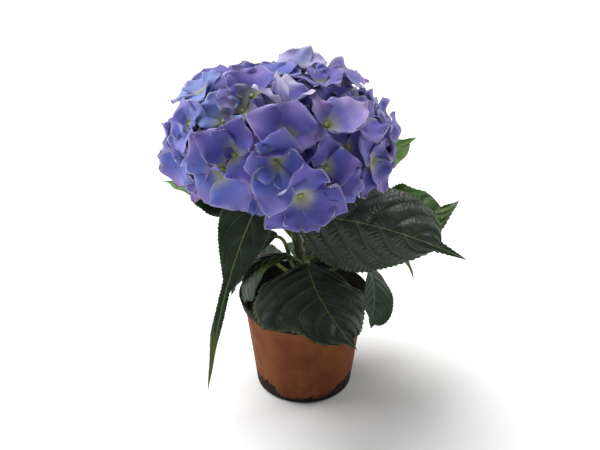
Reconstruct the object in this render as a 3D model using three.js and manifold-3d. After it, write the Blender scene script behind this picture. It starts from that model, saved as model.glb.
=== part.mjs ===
// A potted mophead hydrangea: one stem with pairs of big drooping leaves and
// one blue flower head, in a small plastic nursery pot.
// Millimetres, +Z up. The origin is the middle of the pot's flat underside,
// the front of the plant is -Y and +X is to the right.
import * as THREE from 'three';
import { mergeVertices } from 'three/addons/utils/BufferGeometryUtils.js';
import Module from 'manifold-3d';

const wasm = await Module();
wasm.setup();

// Pot and soil
const POT_HEIGHT = 96;
const POT_BASE_RADIUS = 45.5;
const POT_LIP_RADIUS = 61;
const LIP_OVERHANG = 4;
const LIP_ROUND = 0.8;
const WALL = 1.8;
const FLOOR = 2.6;
const COLLAR_HEIGHT = 11;
const COLLAR_STEP = 2.6;
const BASE_CHAMFER = 1.2;
const POT_SIDES = 36;
const DRAIN_HOLES = 5;
const DRAIN_RADIUS = 4;
const DRAIN_CIRCLE = 30;
const SOIL_TOP = 84;
const SOIL_SINK = 3;
const SOIL_SHOULDER = 0.6;
const GAP = 0.3;

// Stem: it leaves the soil upright and leans to the front left as it rises
const HEAD_FOCUS = new THREE.Vector3(-19, -13, 205);
const STEM_LEAN_POWER = 1.8;
const STEM_FOOT_RADIUS = 6.2;
const STEM_RADIUS = 4.3;
const STEM_TOP_RADIUS = 3.3;
const STEM_FLARE = 7;
const NODE_HEIGHTS = [104, 116, 128, 140, 152, 164, 176];
const NODE_SWELL = 1.3;
const NODE_SPREAD = 3;
const KNOB_RADIUS = 7.5;
const KNOB_REACH = 12;
const KNOB_TOP = 6;
const STEM_SIDES = 8;
const STEM_RING = 4;

// Leaves
const PETIOLE_FOOT = 2.5;
const PETIOLE_TIP = 1.5;
const PETIOLE_SUNK = 9;
const PETIOLE_OUT = 0.4;
const PETIOLE_LIFT = 0.1;
const PETIOLE_ARRIVAL = 0.35;
const PETIOLE_SIDES = 5;
const PETIOLE_RINGS = 5;
const BLADE_STATIONS = 12;
const STATION_CROWDING = 1.15;
const BLADE_SHARPNESS = 0.62;
const TYPICAL_HALF_BLADE = 20;
const TAIL_OVERLAP = 0.6;
const WIDE_BLADE = 80;
const LEAF_THICKNESS = 1 / 90;
const RIB_DEPTH = 1.1;
const LEAST_HALF_WIDTH = 1;
const SPINE_STEPS = 48;

// Flower head
const HEAD_CENTRE = new THREE.Vector3(-20, -15, 253);
const HEAD_RADIUS = 95;
const HEAD_RISE = 62;
const HEAD_LOWEST = -24;
const SPIRAL_FLORETS = 46;
const SPIRAL_TURN = 137.5;
const FLORET_SPACING = 21;
const FLORET_SIZE = 29;
const SIZE_SPREAD = 0.08;
const LIFT_SPREAD = 4;
const TURN_SPREAD = 12;
const LEAST_CUP = 0.1;
const MOST_CUP = 0.3;
const RIM_POINTS = 16;
const SHOULDER_ANGLE = 38;
const SHOULDER_REACH = 0.84;
const NOTCH_REACH = 0.5;
const SEPAL_ROOM = 3;
const SEPAL_RISE = 0.16;
const SHOULDER_RISE = 0.05;
const SEPAL_THICKNESS = 1.2;
const BUD_HEIGHT = 2.4;
const RAY_FOOT = 2.6;
const RAY_TIP = 1.9;
const RAY_SHARE = 0.45;
const PEDICEL_FOOT = 1.4;
const PEDICEL_TIP = 1.1;
const CELL_GAP = 0.25;
const CUTTER_SIZE = 900;
const CHANCE_SEED = 4711;

// Each leaf: the stem node it grows from, the base of its blade, its length
// and width, then how heading, pitch and roll run from base to tip in degrees
const LEAVES = [
  { name: 'leaf_right_large', node: 164, base: [-9, -13, 180], length: 157, width: 92,
    heading: [-2, -17], pitch: [3, -21], bend: 0.64, roll: [-34, -74], fold: -17, droop: 0.23,
    broadest: [0.38, 0.49], share: [0.92, 0.95], tail: 0.28, drip: [0.21, 0.21], taper: 0.81,
    tint: 0x33502f },
  { name: 'leaf_right_behind', node: 140, base: [16, 14, 158], length: 133, width: 75,
    heading: [-6, 24], pitch: [-6, 19], bend: 1.03, roll: [-23, -23], fold: 7, droop: 0.1,
    broadest: [0.58, 0.67], share: [0.88, 1.15], tail: 0.24, drip: [0.69, 0.1], taper: 0.81,
    cut: [0.68, 0.79, 0.25, 0.13], tint: 0x6f8a4a },
  { name: 'leaf_right_under', node: 128, base: [29, 9, 137], length: 90, width: 20,
    heading: [6, -40], pitch: [12, -84], bend: 2, roll: [-10, 0], fold: 8, droop: 0.1,
    tail: 0.24, drip: [0.4, 0.4], tint: 0x44583a },
  { name: 'leaf_right_hanging', node: 104, base: [57, -8, 129], length: 62, width: 31,
    heading: [-45, -138], pitch: [-45, -81], bend: 0.77, roll: [36, 3], fold: 10, droop: 0.1,
    broadest: [0.42, 0.65], share: [0.78, 1.16], tail: 0.13, drip: [0.3, 0.3], taper: 1.04,
    tint: 0x5d6a58 },
  { name: 'leaf_front', node: 116, base: [4, -12, 132], length: 116, width: 111,
    heading: [-92, -45], pitch: [8, -29], bend: 0.78, roll: [-2, 9], fold: -5, droop: 0.18,
    broadest: [0.55, 0.62], share: [1.01, 0.83], tail: 0.16, drip: [0.13, 0.13], taper: 1.13,
    cut: [0.53, 0.67, 0.28, 0.14], tint: 0x263d29 },
  { name: 'leaf_left_arching', node: 128, base: [-8, -16, 138], length: 76, width: 34,
    heading: [176, 233], pitch: [29, -98], bend: 0.9, roll: [-7, -9], fold: 5, droop: 0.2,
    broadest: [0.4, 0.6], tail: 0.06, tint: 0x3a5230 },
  { name: 'leaf_left_inner', node: 116, base: [-24, -5, 157], length: 78, width: 42,
    heading: [-178, -160], pitch: [-25, -78], bend: 0.81, roll: [0, 0], fold: 14, droop: 0.1,
    tint: 0x2c432c },
  { name: 'leaf_left_middle', node: 152, base: [-26, 8, 166], length: 80, width: 56,
    heading: [173, 167], pitch: [25, 4], bend: 1, roll: [9, 9], fold: 7, droop: 0.08,
    broadest: [0.6, 0.6], tail: 0.05, tint: 0x2f472d },
  { name: 'leaf_left_long', node: 176, base: [-34, -8, 200], length: 196, width: 46,
    heading: [-131, -148], pitch: [-17, -82], bend: 0.29, roll: [29, 95], fold: 7, droop: 0.14,
    broadest: [0.43, 0.52], share: [1, 0.78], tail: 0.75, tailWidest: 0.3, drip: [0.23, 0.23],
    taper: 2.18, tint: 0x3b5633 },
  { name: 'leaf_left_upper', node: 164, base: [-38, 6, 180], length: 98, width: 49,
    heading: [167, 161], pitch: [14, 1], bend: 1, roll: [0, 0], fold: 11, droop: 0.09,
    tint: 0x5f8a3c },
  { name: 'leaf_right_upper', node: 176, base: [0, 24, 184], length: 140, width: 58,
    heading: [30, 42], pitch: [14, 6], bend: 1, roll: [0, -19], fold: 12, droop: 0.08,
    tint: 0x5f8a3c },
  { name: 'leaf_back', node: 104, base: [4, 20, 114], length: 108, width: 60,
    heading: [76, 86], pitch: [10, -50], bend: 1, roll: [0, 5], fold: 5, droop: 0.15,
    tint: 0x33502f },
  { name: 'leaf_back_left', node: 104, base: [-26, 18, 114], length: 68, width: 54,
    heading: [142, 152], pitch: [14, -52], bend: 1, roll: [0, 0], fold: 6, droop: 0.12,
    tint: 0x3a5230 },
  { name: 'leaf_back_right', node: 152, base: [2, 30, 142], length: 108, width: 70,
    heading: [56, 46], pitch: [0, -40], bend: 1, roll: [0, -8], fold: 7, droop: 0.12,
    tint: 0x33502f },
];

// What a leaf has where its row says nothing else. Pairs are for its right and
// left half: where it is broadest, its share of the width and of the drip tip.
// The cut narrows the blade from one place along it to another, by two depths.
const USUAL_LEAF = {
  broadest: [0.45, 0.45], share: [1, 1], tail: 0.14, drip: [0.2, 0.2], taper: 1, cut: [0, 1, 0, 0],
};

// Florets that stand out at the front: place on the dome (azimuth, elevation),
// lift off it, length of the sepals and the four ways that the sepals point
const SEEN_FLORETS = [
  { at: [-91, 14], lift: 4, size: 30, turns: [72, 178, -46, -95] },
  { at: [-110, 18], lift: 0, size: 31, turns: [128, 50, -42, 215] },
  { at: [-117, 7], lift: -3, size: 32, turns: [140, 205, -72, 20] },
  { at: [-81, -6], lift: -2, size: 33, turns: [218, -80, -8, 110] },
  { at: [-122, 47], lift: -3, size: 29, turns: [80, -5, -95, 185] },
  { at: [-108, 34], lift: -4, size: 32, turns: [22, 110, -60, 200] },
  { at: [-123, 62], lift: 0, size: 29, turns: [115, 20, -70, 200] },
  { at: [-132, 30], lift: 2, size: 29, turns: [125, 215, 30, -60] },
  { at: [-71, 34], lift: -2, size: 29, turns: [95, 185, -80, 10] },
  { at: [-61, 33], lift: -5, size: 32, turns: [40, 118, -40, -130] },
  { at: [-58, 22], lift: 5, size: 37, turns: [-112, -28, 60, 150] },
  { at: [-94, 3], lift: -6, size: 31, turns: [-85, -140, 0, 90] },
  { at: [-86, 58], lift: 3, size: 29, turns: [95, -80, 10, 180] },
  { at: [-59, 68], lift: -4, size: 28, turns: [70, 150, -20, -100] },
  { at: [-42, 59], lift: 2, size: 29, turns: [55, -30, 140, -120] },
  { at: [69, 66], lift: 0, size: 29, turns: [35, 145, -45, -135] },
  { at: [-10, 87], lift: -2, size: 29, turns: [20, 108, 200, 290] },
  { at: [-15, 53], lift: 3, size: 28, turns: [60, -20, 150, -110] },
  { at: [-32, 32], lift: 0, size: 29, turns: [60, -50, 140, -130] },
  { at: [-46, 1], lift: -5, size: 29, turns: [-60, -110, 30, 120] },
  { at: [-25, 7], lift: 2, size: 29, turns: [80, -85, 0, 180] },
  { at: [-145, 9], lift: -2, size: 29, turns: [150, -100, -20, 70] },
  { at: [-166, 46], lift: 0, size: 28, turns: [140, 50, 220, -40] },
  { at: [-163, 27], lift: 3, size: 28, turns: [160, 80, -110, -20] },
  { at: [-107, -8], lift: -5, size: 30, turns: [200, -75, 10, 110] },
  { at: [165, 67], lift: -3, size: 28, turns: [130, 40, 220, -50] },
  { at: [-62, -7], lift: -6, size: 31, turns: [-55, -130, 40, 130] },
];

// The head is made of clusters, one on each ray of the stem's tip
const CLUSTERS = [
  { name: 'bloom_crown', azimuth: 0, elevation: 90, tint: 0x7b78c4 },
  { name: 'bloom_front', azimuth: -90, elevation: 14, tint: 0x5a5fb6 },
  { name: 'bloom_front_right', azimuth: -30, elevation: 14, tint: 0x6158ac },
  { name: 'bloom_back_right', azimuth: 30, elevation: 14, tint: 0x6a64b0 },
  { name: 'bloom_back', azimuth: 90, elevation: 14, tint: 0x6668b8 },
  { name: 'bloom_back_left', azimuth: 150, elevation: 14, tint: 0x6a70c0 },
  { name: 'bloom_front_left', azimuth: 210, elevation: 14, tint: 0x6a7cc8 },
];

const UP = new THREE.Vector3(0, 0, 1);
const rad = THREE.MathUtils.degToRad;
const mix = THREE.MathUtils.lerp;

// Solids and meshes

function bare(geometry) {
  geometry.deleteAttribute('normal');
  geometry.deleteAttribute('uv');
  return mergeVertices(geometry, 1e-4);
}

function moveVertices(geometry, place) {
  const points = geometry.getAttribute('position');
  const from = new THREE.Vector3();
  for (let i = 0; i < points.count; i += 1) {
    from.fromBufferAttribute(points, i);
    const to = place(from);
    points.setXYZ(i, to.x, to.y, to.z);
  }
  return geometry;
}

function toSolid(geometry) {
  const vertProperties = new Float32Array(geometry.getAttribute('position').array);
  const triVerts = new Uint32Array(geometry.getIndex().array);
  return new wasm.Manifold(new wasm.Mesh({ numProp: 3, vertProperties, triVerts }));
}

function toGeometry(solid) {
  const mesh = solid.getMesh();
  const geometry = new THREE.BufferGeometry();
  geometry.setAttribute('position', new THREE.BufferAttribute(mesh.vertProperties, 3));
  geometry.setIndex(new THREE.BufferAttribute(mesh.triVerts, 1));
  return geometry;
}

function largestPiece(solid) {
  const pieces = solid.decompose();
  return pieces.reduce((best, piece) => (piece.volume() > best.volume() ? piece : best));
}

function addPart(group, name, solid, color, roughness) {
  const material = new THREE.MeshStandardMaterial({ color, roughness, metalness: 0 });
  const geometry = toGeometry(solid);
  geometry.computeVertexNormals();
  const mesh = new THREE.Mesh(geometry, material);
  mesh.name = name;
  group.add(mesh);
}

// A tapering limb: a cylinder bent along a curve
function limb(curve, footRadius, tipRadius, sides, rings) {
  const frames = curve.computeFrenetFrames(rings, false);
  const cylinder = bare(new THREE.CylinderGeometry(1, 1, 1, sides, rings));
  return moveVertices(cylinder, (p) => {
    const t = p.y + 0.5;
    const ring = Math.round(t * rings);
    const radius = mix(footRadius, tipRadius, t);
    return curve.getPoint(t)
      .addScaledVector(frames.binormals[ring], p.x * radius)
      .addScaledVector(frames.normals[ring], p.z * radius);
  });
}

// Pot and soil

function outerRadius(z) {
  return mix(POT_BASE_RADIUS, POT_LIP_RADIUS - LIP_OVERHANG, z / POT_HEIGHT);
}

function lathe(profile) {
  const turned = new THREE.LatheGeometry(profile, POT_SIDES);
  turned.rotateX(Math.PI / 2);
  return toSolid(bare(turned));
}

function buildPot() {
  const collar = POT_HEIGHT - COLLAR_HEIGHT;
  const step = outerRadius(collar) + COLLAR_STEP;
  const profile = [
    new THREE.Vector2(0, 0),
    new THREE.Vector2(POT_BASE_RADIUS - BASE_CHAMFER, 0),
    new THREE.Vector2(POT_BASE_RADIUS, BASE_CHAMFER),
    new THREE.Vector2(outerRadius(collar - COLLAR_STEP), collar - COLLAR_STEP),
    new THREE.Vector2(step, collar),
    new THREE.Vector2(POT_LIP_RADIUS, POT_HEIGHT - LIP_ROUND),
    new THREE.Vector2(POT_LIP_RADIUS - LIP_ROUND, POT_HEIGHT),
    new THREE.Vector2(POT_LIP_RADIUS - WALL, POT_HEIGHT),
    new THREE.Vector2(step - WALL, collar + 1),
    new THREE.Vector2(outerRadius(collar - COLLAR_STEP) - WALL, collar - COLLAR_STEP),
    new THREE.Vector2(outerRadius(FLOOR) - WALL, FLOOR),
    new THREE.Vector2(0, FLOOR),
  ];
  let pot = lathe(profile);
  for (let i = 0; i < DRAIN_HOLES; i += 1) {
    const turn = rad(360 * (i + 0.5) / DRAIN_HOLES);
    const drill = new THREE.CylinderGeometry(DRAIN_RADIUS, DRAIN_RADIUS, FLOOR * 3, 8);
    drill.rotateX(Math.PI / 2);
    drill.translate(DRAIN_CIRCLE * Math.cos(turn), DRAIN_CIRCLE * Math.sin(turn), 0);
    pot = pot.subtract(toSolid(bare(drill)));
  }
  return pot;
}

function buildSoil() {
  const edge = SOIL_TOP - SOIL_SINK;
  const inside = (z) => outerRadius(z) - WALL - GAP;
  return lathe([
    new THREE.Vector2(0, FLOOR + GAP),
    new THREE.Vector2(inside(FLOOR + GAP), FLOOR + GAP),
    new THREE.Vector2(inside(edge), edge),
    new THREE.Vector2(inside(edge) * SOIL_SHOULDER, edge + SOIL_SINK * SOIL_SHOULDER),
    new THREE.Vector2(STEM_FOOT_RADIUS * 2, SOIL_TOP),
    new THREE.Vector2(0, SOIL_TOP),
  ]);
}

// Stem

function stemAxis(z) {
  const rise = Math.max(0, (z - SOIL_TOP) / (HEAD_FOCUS.z - SOIL_TOP));
  const lean = rise ** STEM_LEAN_POWER;
  return new THREE.Vector3(HEAD_FOCUS.x * lean, HEAD_FOCUS.y * lean, z);
}

function stemRadius(z) {
  const rise = (z - SOIL_TOP) / (HEAD_FOCUS.z - SOIL_TOP);
  let radius = mix(STEM_RADIUS, STEM_TOP_RADIUS, rise);
  radius += (STEM_FOOT_RADIUS - STEM_RADIUS) * Math.exp(-(z - SOIL_TOP) / STEM_FLARE);
  for (const node of NODE_HEIGHTS) {
    radius += NODE_SWELL * Math.exp(-(((z - node) / NODE_SPREAD) ** 2));
  }
  const up = (z - HEAD_FOCUS.z) / KNOB_REACH;
  if (up > -1) {
    radius = Math.max(radius, KNOB_RADIUS * Math.cos(up * Math.PI / 2));
  }
  return radius;
}

function buildStem(extra) {
  const foot = SOIL_TOP + GAP - extra;
  const top = HEAD_FOCUS.z + KNOB_TOP + extra;
  const rings = Math.round((top - foot) / STEM_RING);
  const cylinder = bare(new THREE.CylinderGeometry(1, 1, 1, STEM_SIDES, rings));
  return toSolid(moveVertices(cylinder, (p) => {
    const z = mix(foot, top, p.y + 0.5);
    const middle = stemAxis(z);
    const radius = stemRadius(z) + extra;
    return new THREE.Vector3(middle.x + p.z * radius, middle.y + p.x * radius, z);
  }));
}

// Leaves: a curved midrib with a blade of changing width across it

function leafDirection(leaf, s) {
  const heading = rad(mix(leaf.heading[0], leaf.heading[1], s));
  const pitch = rad(mix(leaf.pitch[0], leaf.pitch[1], s ** leaf.bend));
  return new THREE.Vector3(
    Math.cos(heading) * Math.cos(pitch),
    Math.sin(heading) * Math.cos(pitch),
    Math.sin(pitch),
  );
}

function leafFrame(leaf, s) {
  const middle = new THREE.Vector3(...leaf.base);
  const steps = s * SPINE_STEPS;
  for (let i = 0; i < steps; i += 1) {
    const share = Math.min(1, steps - i);
    middle.addScaledVector(leafDirection(leaf, i / SPINE_STEPS), share * leaf.length / SPINE_STEPS);
  }
  const along = leafDirection(leaf, s);
  const roll = rad(mix(leaf.roll[0], leaf.roll[1], s));
  const level = along.clone().cross(UP).normalize();
  const above = level.clone().cross(along);
  const side = level.clone().multiplyScalar(Math.cos(roll)).addScaledVector(above, Math.sin(roll));
  const normal = above.multiplyScalar(Math.cos(roll)).addScaledVector(level, -Math.sin(roll));
  return { middle, along, side, normal };
}

function leafHalfWidth(leaf, s, half) {
  const broadest = leaf.broadest[half];
  const u = Math.min(s / (1 - TAIL_OVERLAP * leaf.tail), 1);
  const fall = BLADE_SHARPNESS * (1 - broadest) / broadest * leaf.taper;
  const [start, end, ...depths] = leaf.cut;
  const body = (u / broadest) ** BLADE_SHARPNESS * ((1 - u) / (1 - broadest)) ** fall
    * (1 - depths[half] * THREE.MathUtils.smoothstep(s, start, end));
  const widest = leaf.tailWidest ?? leaf.tail;
  const drip = s > 0.5 * (1 - leaf.tail) ? leaf.drip[half] * Math.min(1, (1 - s) / widest) : 0;
  return Math.max(LEAST_HALF_WIDTH, leaf.width / 2 * leaf.share[half] * Math.max(body, drip));
}

function leafPoint(leaf, s, across, lift) {
  const frame = leafFrame(leaf, s);
  const half = leafHalfWidth(leaf, s, across > 0 ? 0 : 1);
  const fold = rad(leaf.fold);
  const height = half * (Math.abs(across) * Math.sin(fold) - leaf.droop * across * across);
  return frame.middle
    .addScaledVector(frame.side, half * across * Math.cos(fold))
    .addScaledVector(frame.normal, height + lift);
}

function buildBlade(leaf, extra) {
  const thickness = leaf.length * LEAF_THICKNESS / 2 + extra;
  const strips = leaf.width > WIDE_BLADE ? 4 : 2;
  const slab = bare(new THREE.BoxGeometry(1, 1, 1, BLADE_STATIONS, 1, strips));
  return toSolid(moveVertices(slab, (p) => {
    const across = p.z * 2 * (1 + extra / TYPICAL_HALF_BLADE);
    const rib = p.y < 0 && Math.abs(across) < 0.1 ? RIB_DEPTH : 0;
    const s = (p.x + 0.5) ** STATION_CROWDING;
    return leafPoint(leaf, s, across, p.y < 0 ? -thickness - rib : thickness);
  }));
}

function petioleCurve(leaf) {
  const foot = stemAxis(leaf.node);
  const base = new THREE.Vector3(...leaf.base);
  const along = leafDirection(leaf, 0);
  const reach = foot.distanceTo(base);
  const out = base.clone().sub(foot).setZ(0).normalize().multiplyScalar(reach * PETIOLE_OUT);
  return new THREE.CubicBezierCurve3(
    foot,
    foot.clone().add(out).addScaledVector(UP, reach * PETIOLE_LIFT),
    base.clone().addScaledVector(along, -reach * PETIOLE_ARRIVAL),
    base.clone().addScaledVector(along, PETIOLE_SUNK),
  );
}

function buildLeaf(leaf, extra) {
  const tube = limb(petioleCurve(leaf), PETIOLE_FOOT + extra, PETIOLE_TIP + extra,
    PETIOLE_SIDES, PETIOLE_RINGS);
  return buildBlade(leaf, extra).add(toSolid(tube));
}

// Flower head

let chanceState = CHANCE_SEED;
function chance(low, high) {
  chanceState = (chanceState * 16807) % 2147483647;
  return low + (high - low) * chanceState / 2147483647;
}

function sphereDirection(azimuth, elevation) {
  return new THREE.Vector3(
    Math.cos(rad(elevation)) * Math.cos(rad(azimuth)),
    Math.cos(rad(elevation)) * Math.sin(rad(azimuth)),
    Math.sin(rad(elevation)),
  );
}

function placeFloret(azimuth, elevation, lift, size, turns) {
  const way = sphereDirection(azimuth, elevation);
  const normal = new THREE.Vector3(way.x / HEAD_RADIUS, way.y / HEAD_RADIUS, way.z / HEAD_RISE).normalize();
  const right = UP.clone().cross(normal).normalize();
  const above = normal.clone().cross(right);
  const centre = new THREE.Vector3(way.x * HEAD_RADIUS, way.y * HEAD_RADIUS, way.z * HEAD_RISE)
    .add(HEAD_CENTRE)
    .addScaledVector(normal, lift);
  const cups = turns.map(() => chance(LEAST_CUP, MOST_CUP));
  return { way, centre, normal, right, above, size, turns, cups };
}

function layOutFlorets() {
  const florets = SEEN_FLORETS.map((f) => placeFloret(f.at[0], f.at[1], f.lift, f.size, f.turns));
  const lowest = Math.sin(rad(HEAD_LOWEST));
  for (let i = 0; i < SPIRAL_FLORETS; i += 1) {
    const height = 1 - (i + 0.5) / SPIRAL_FLORETS * (1 - lowest);
    const elevation = THREE.MathUtils.radToDeg(Math.asin(height));
    const way = sphereDirection(i * SPIRAL_TURN, elevation);
    const crowded = florets.some((f) => way.angleTo(f.way) < rad(FLORET_SPACING));
    if (crowded) {
      continue;
    }
    const twist = chance(0, 90);
    const turns = [0, 90, 180, 270].map((turn) => turn + twist + chance(-TURN_SPREAD, TURN_SPREAD));
    const size = FLORET_SIZE * chance(1 - SIZE_SPREAD, 1 + SIZE_SPREAD);
    const lift = chance(-LIFT_SPREAD, LIFT_SPREAD);
    florets.push(placeFloret(i * SPIRAL_TURN, elevation, lift, size, turns));
  }
  return florets;
}

// Four sepals in one piece: a flat double cone whose rim goes from shoulder
// to tip, to shoulder, to the notch before the next sepal
const doubleCone = bare(new THREE.SphereGeometry(1, RIM_POINTS, 2));

function rimPoint(floret, index) {
  const order = floret.turns.map((turn, i) => ({ turn: (turn + 360) % 360, cup: floret.cups[i] }));
  order.sort((a, b) => a.turn - b.turn);
  const sepal = order[Math.floor(index / 4)];
  const before = order[(Math.floor(index / 4) + 3) % 4].turn;
  const after = order[(Math.floor(index / 4) + 1) % 4].turn;
  const room = (from, to) => ((to - from + 360) % 360) / 2;
  const corner = index % 4;
  const open = corner === 0 ? room(before, sepal.turn) : room(sepal.turn, after);
  const shoulder = Math.min(SHOULDER_ANGLE, open - SEPAL_ROOM);
  const turn = sepal.turn + [-shoulder, 0, shoulder, open][corner];
  const reach = [SHOULDER_REACH, 1, SHOULDER_REACH, NOTCH_REACH][corner];
  const shoulderRise = corner % 2 === 0 ? SHOULDER_RISE : 0;
  const lift = SEPAL_RISE * reach - sepal.cup * reach * reach + shoulderRise;
  return { turn, reach, lift };
}

function buildFloret(floret, branch) {
  const flower = toSolid(moveVertices(doubleCone.clone(), (p) => {
    const place = floret.centre.clone();
    if (Math.abs(p.y) > 0.5) {
      return place.addScaledVector(floret.normal, p.y > 0 ? BUD_HEIGHT : -SEPAL_THICKNESS);
    }
    const step = THREE.MathUtils.radToDeg(Math.atan2(-p.z, p.x)) + 360;
    const rim = rimPoint(floret, Math.round(step * RIM_POINTS / 360) % RIM_POINTS);
    return place
      .addScaledVector(floret.right, floret.size * rim.reach * Math.cos(rad(rim.turn)))
      .addScaledVector(floret.above, floret.size * rim.reach * Math.sin(rad(rim.turn)))
      .addScaledVector(floret.normal, floret.size * rim.lift);
  }));
  const stalk = new THREE.LineCurve3(branch, floret.centre);
  return [flower, toSolid(limb(stalk, PEDICEL_FOOT, PEDICEL_TIP, 3, 1))];
}

// The wedge of space on the far side of the plane between two clusters
function beyondPlane(own, other) {
  const normal = other.clone().sub(own).normalize();
  const block = new THREE.BoxGeometry(CUTTER_SIZE, CUTTER_SIZE, CUTTER_SIZE);
  block.translate(0, 0, CUTTER_SIZE / 2 - CELL_GAP);
  block.applyQuaternion(new THREE.Quaternion().setFromUnitVectors(UP, normal));
  block.translate(HEAD_FOCUS.x, HEAD_FOCUS.y, HEAD_FOCUS.z);
  return toSolid(bare(block));
}

function buildCluster(cluster, ways, florets, keepClear) {
  const own = florets.filter((f) => f.cluster === cluster);
  const middle = new THREE.Vector3();
  own.forEach((f) => middle.add(f.centre));
  middle.divideScalar(own.length);
  const branch = HEAD_FOCUS.clone().lerp(middle, RAY_SHARE);
  const ray = new THREE.LineCurve3(HEAD_FOCUS, branch);
  let mass = toSolid(limb(ray, RAY_FOOT, RAY_TIP, 5, 1));
  for (const floret of own) {
    for (const piece of buildFloret(floret, branch)) {
      mass = mass.add(piece);
    }
  }
  for (const other of CLUSTERS) {
    if (other !== cluster) {
      mass = mass.subtract(beyondPlane(ways.get(cluster), ways.get(other)));
    }
  }
  return largestPiece(mass.subtract(keepClear));
}

function nearestCluster(floret, ways) {
  const way = floret.centre.clone().sub(HEAD_FOCUS).normalize();
  return CLUSTERS.reduce((best, c) => (way.dot(ways.get(c)) > way.dot(ways.get(best)) ? c : best));
}

// The whole plant

const plant = new THREE.Group();
addPart(plant, 'pot', buildPot(), 0x9a5636, 0.7);
addPart(plant, 'soil', buildSoil(), 0x1d1916, 0.95);
addPart(plant, 'main_stem', buildStem(0), 0x66763c, 0.6);

const fatStem = buildStem(GAP);
let keepClear = fatStem;
for (const row of LEAVES) {
  const leaf = { ...USUAL_LEAF, ...row };
  const solid = largestPiece(buildLeaf(leaf, 0).subtract(fatStem));
  addPart(plant, leaf.name, solid, leaf.tint, 0.45);
  keepClear = keepClear.add(buildLeaf(leaf, GAP * 2));
}

const ways = new Map(CLUSTERS.map((c) => [c, sphereDirection(c.azimuth, c.elevation)]));
const florets = layOutFlorets();
florets.forEach((f) => { f.cluster = nearestCluster(f, ways); });
for (const cluster of CLUSTERS) {
  const mass = buildCluster(cluster, ways, florets, keepClear);
  addPart(plant, cluster.name, mass, cluster.tint, 0.6);
}

export default plant;
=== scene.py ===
import math

import bmesh
import bpy
import numpy as np
from mathutils import Matrix, Vector


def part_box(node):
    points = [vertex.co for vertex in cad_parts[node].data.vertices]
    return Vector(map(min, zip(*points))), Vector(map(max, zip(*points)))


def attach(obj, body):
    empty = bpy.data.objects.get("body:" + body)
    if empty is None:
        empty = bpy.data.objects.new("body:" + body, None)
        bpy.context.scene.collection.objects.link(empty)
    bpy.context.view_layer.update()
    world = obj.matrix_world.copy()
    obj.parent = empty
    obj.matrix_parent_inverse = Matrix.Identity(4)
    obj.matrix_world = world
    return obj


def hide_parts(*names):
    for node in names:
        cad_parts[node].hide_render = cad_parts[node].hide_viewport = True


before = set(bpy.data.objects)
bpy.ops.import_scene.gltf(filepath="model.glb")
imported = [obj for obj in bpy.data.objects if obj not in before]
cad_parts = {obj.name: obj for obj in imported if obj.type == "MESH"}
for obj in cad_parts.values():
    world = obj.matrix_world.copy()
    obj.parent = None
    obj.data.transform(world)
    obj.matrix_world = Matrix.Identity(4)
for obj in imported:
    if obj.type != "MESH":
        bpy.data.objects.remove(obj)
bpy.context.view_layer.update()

MM = 0.001

# Pot
# A nursery pot moulded in thin terracotta-coloured polypropylene. The wall
# tapers to the foot and steps out into a collar, so that pots stack.
POT_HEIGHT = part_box("pot")[1].z
LIP_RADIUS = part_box("pot")[1].x
LIP_OVERHANG = 4 * MM
LIP_ROUND = 0.8 * MM
FOOT_RADIUS = 45.5 * MM
FOOT_CHAMFER = 1.2 * MM
WALL = 1.8 * MM
FLOOR = 2.6 * MM
COLLAR_HEIGHT = 11 * MM
COLLAR_STEP = 2.6 * MM
POT_SIDES = 96
DRAIN_HOLES = 5
DRAIN_RADIUS = 4 * MM
DRAIN_CIRCLE = 30 * MM
PEG_HOLE_RADIUS = 0.9 * MM
PEG_HOLE_HEIGHT = 78 * MM
PEG_HOLE_AZIMUTH = math.radians(-149)
EDGE_ROUND = 0.35 * MM
DRILL_SIDES = 20
LEVEL = 0.9
PLASTIC_RELIEF = 0.12 * MM
INSIDE_RELIEF = 0.3 * MM
DUST_FADES_FROM, DUST_FADES_TO = 45 * MM, 10 * MM
STAIN_HEIGHT = 5.5 * MM
STAIN_CLIMB = 9.5 * MM
STAIN_CLIMBS_FROM, STAIN_CLIMBS_TO = 16 * MM, 42 * MM
STAIN_EDGE = 0.8 * MM
CLOUD_WANDER = 22 * MM
GRIT_WANDER = 16 * MM
FOOT_GRIME = 3.5 * MM
COLLAR_BLACKENING_FROM, COLLAR_BLACKENING_TO = 3 * MM, 5.5 * MM
PLASTIC_COLOURS = ((0.150, 0.044, 0.017), (0.20, 0.068, 0.025))
STREAK_COLOUR = (0.085, 0.034, 0.02)
DUST_COLOUR = (0.24, 0.17, 0.12)
BLACKENING_COLOURS = ((0.010, 0.009, 0.008), (0.04, 0.03, 0.022))
INSIDE_COLOURS = ((0.035, 0.022, 0.016), (0.010, 0.008, 0.007))


def wall_radius(height):
    share = height / POT_HEIGHT
    return FOOT_RADIUS + (LIP_RADIUS - LIP_OVERHANG - FOOT_RADIUS) * share


def start_piece(name, add, **settings):
    """Add a primitive with nothing else selected."""
    bpy.ops.object.select_all(action="DESELECT")
    add(**settings)
    bpy.context.object.name = name
    return bpy.context.object


def start_editing(piece):
    bpy.context.view_layer.objects.active = piece
    bpy.ops.object.mode_set(mode="EDIT")
    bpy.ops.mesh.select_mode(type="FACE")
    bpy.ops.mesh.select_all(action="DESELECT")


def pick_faces(piece, wanted):
    mesh = bmesh.from_edit_mesh(piece.data)
    for face in mesh.faces:
        face.select_set(wanted(face))
    bmesh.update_edit_mesh(piece.data)


def carry_cap(profile):
    """Extrude the picked cap through each radius and height of the profile."""
    for (radius, height), (next_radius, next_height) in zip(profile, profile[1:]):
        rise = (0, 0, next_height - height)
        bpy.ops.mesh.extrude_region_move(TRANSFORM_OT_translate={"value": rise})
        ratio = next_radius / radius
        bpy.ops.transform.resize(value=(ratio, ratio, 1), center_override=(0, 0, next_height))


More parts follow.
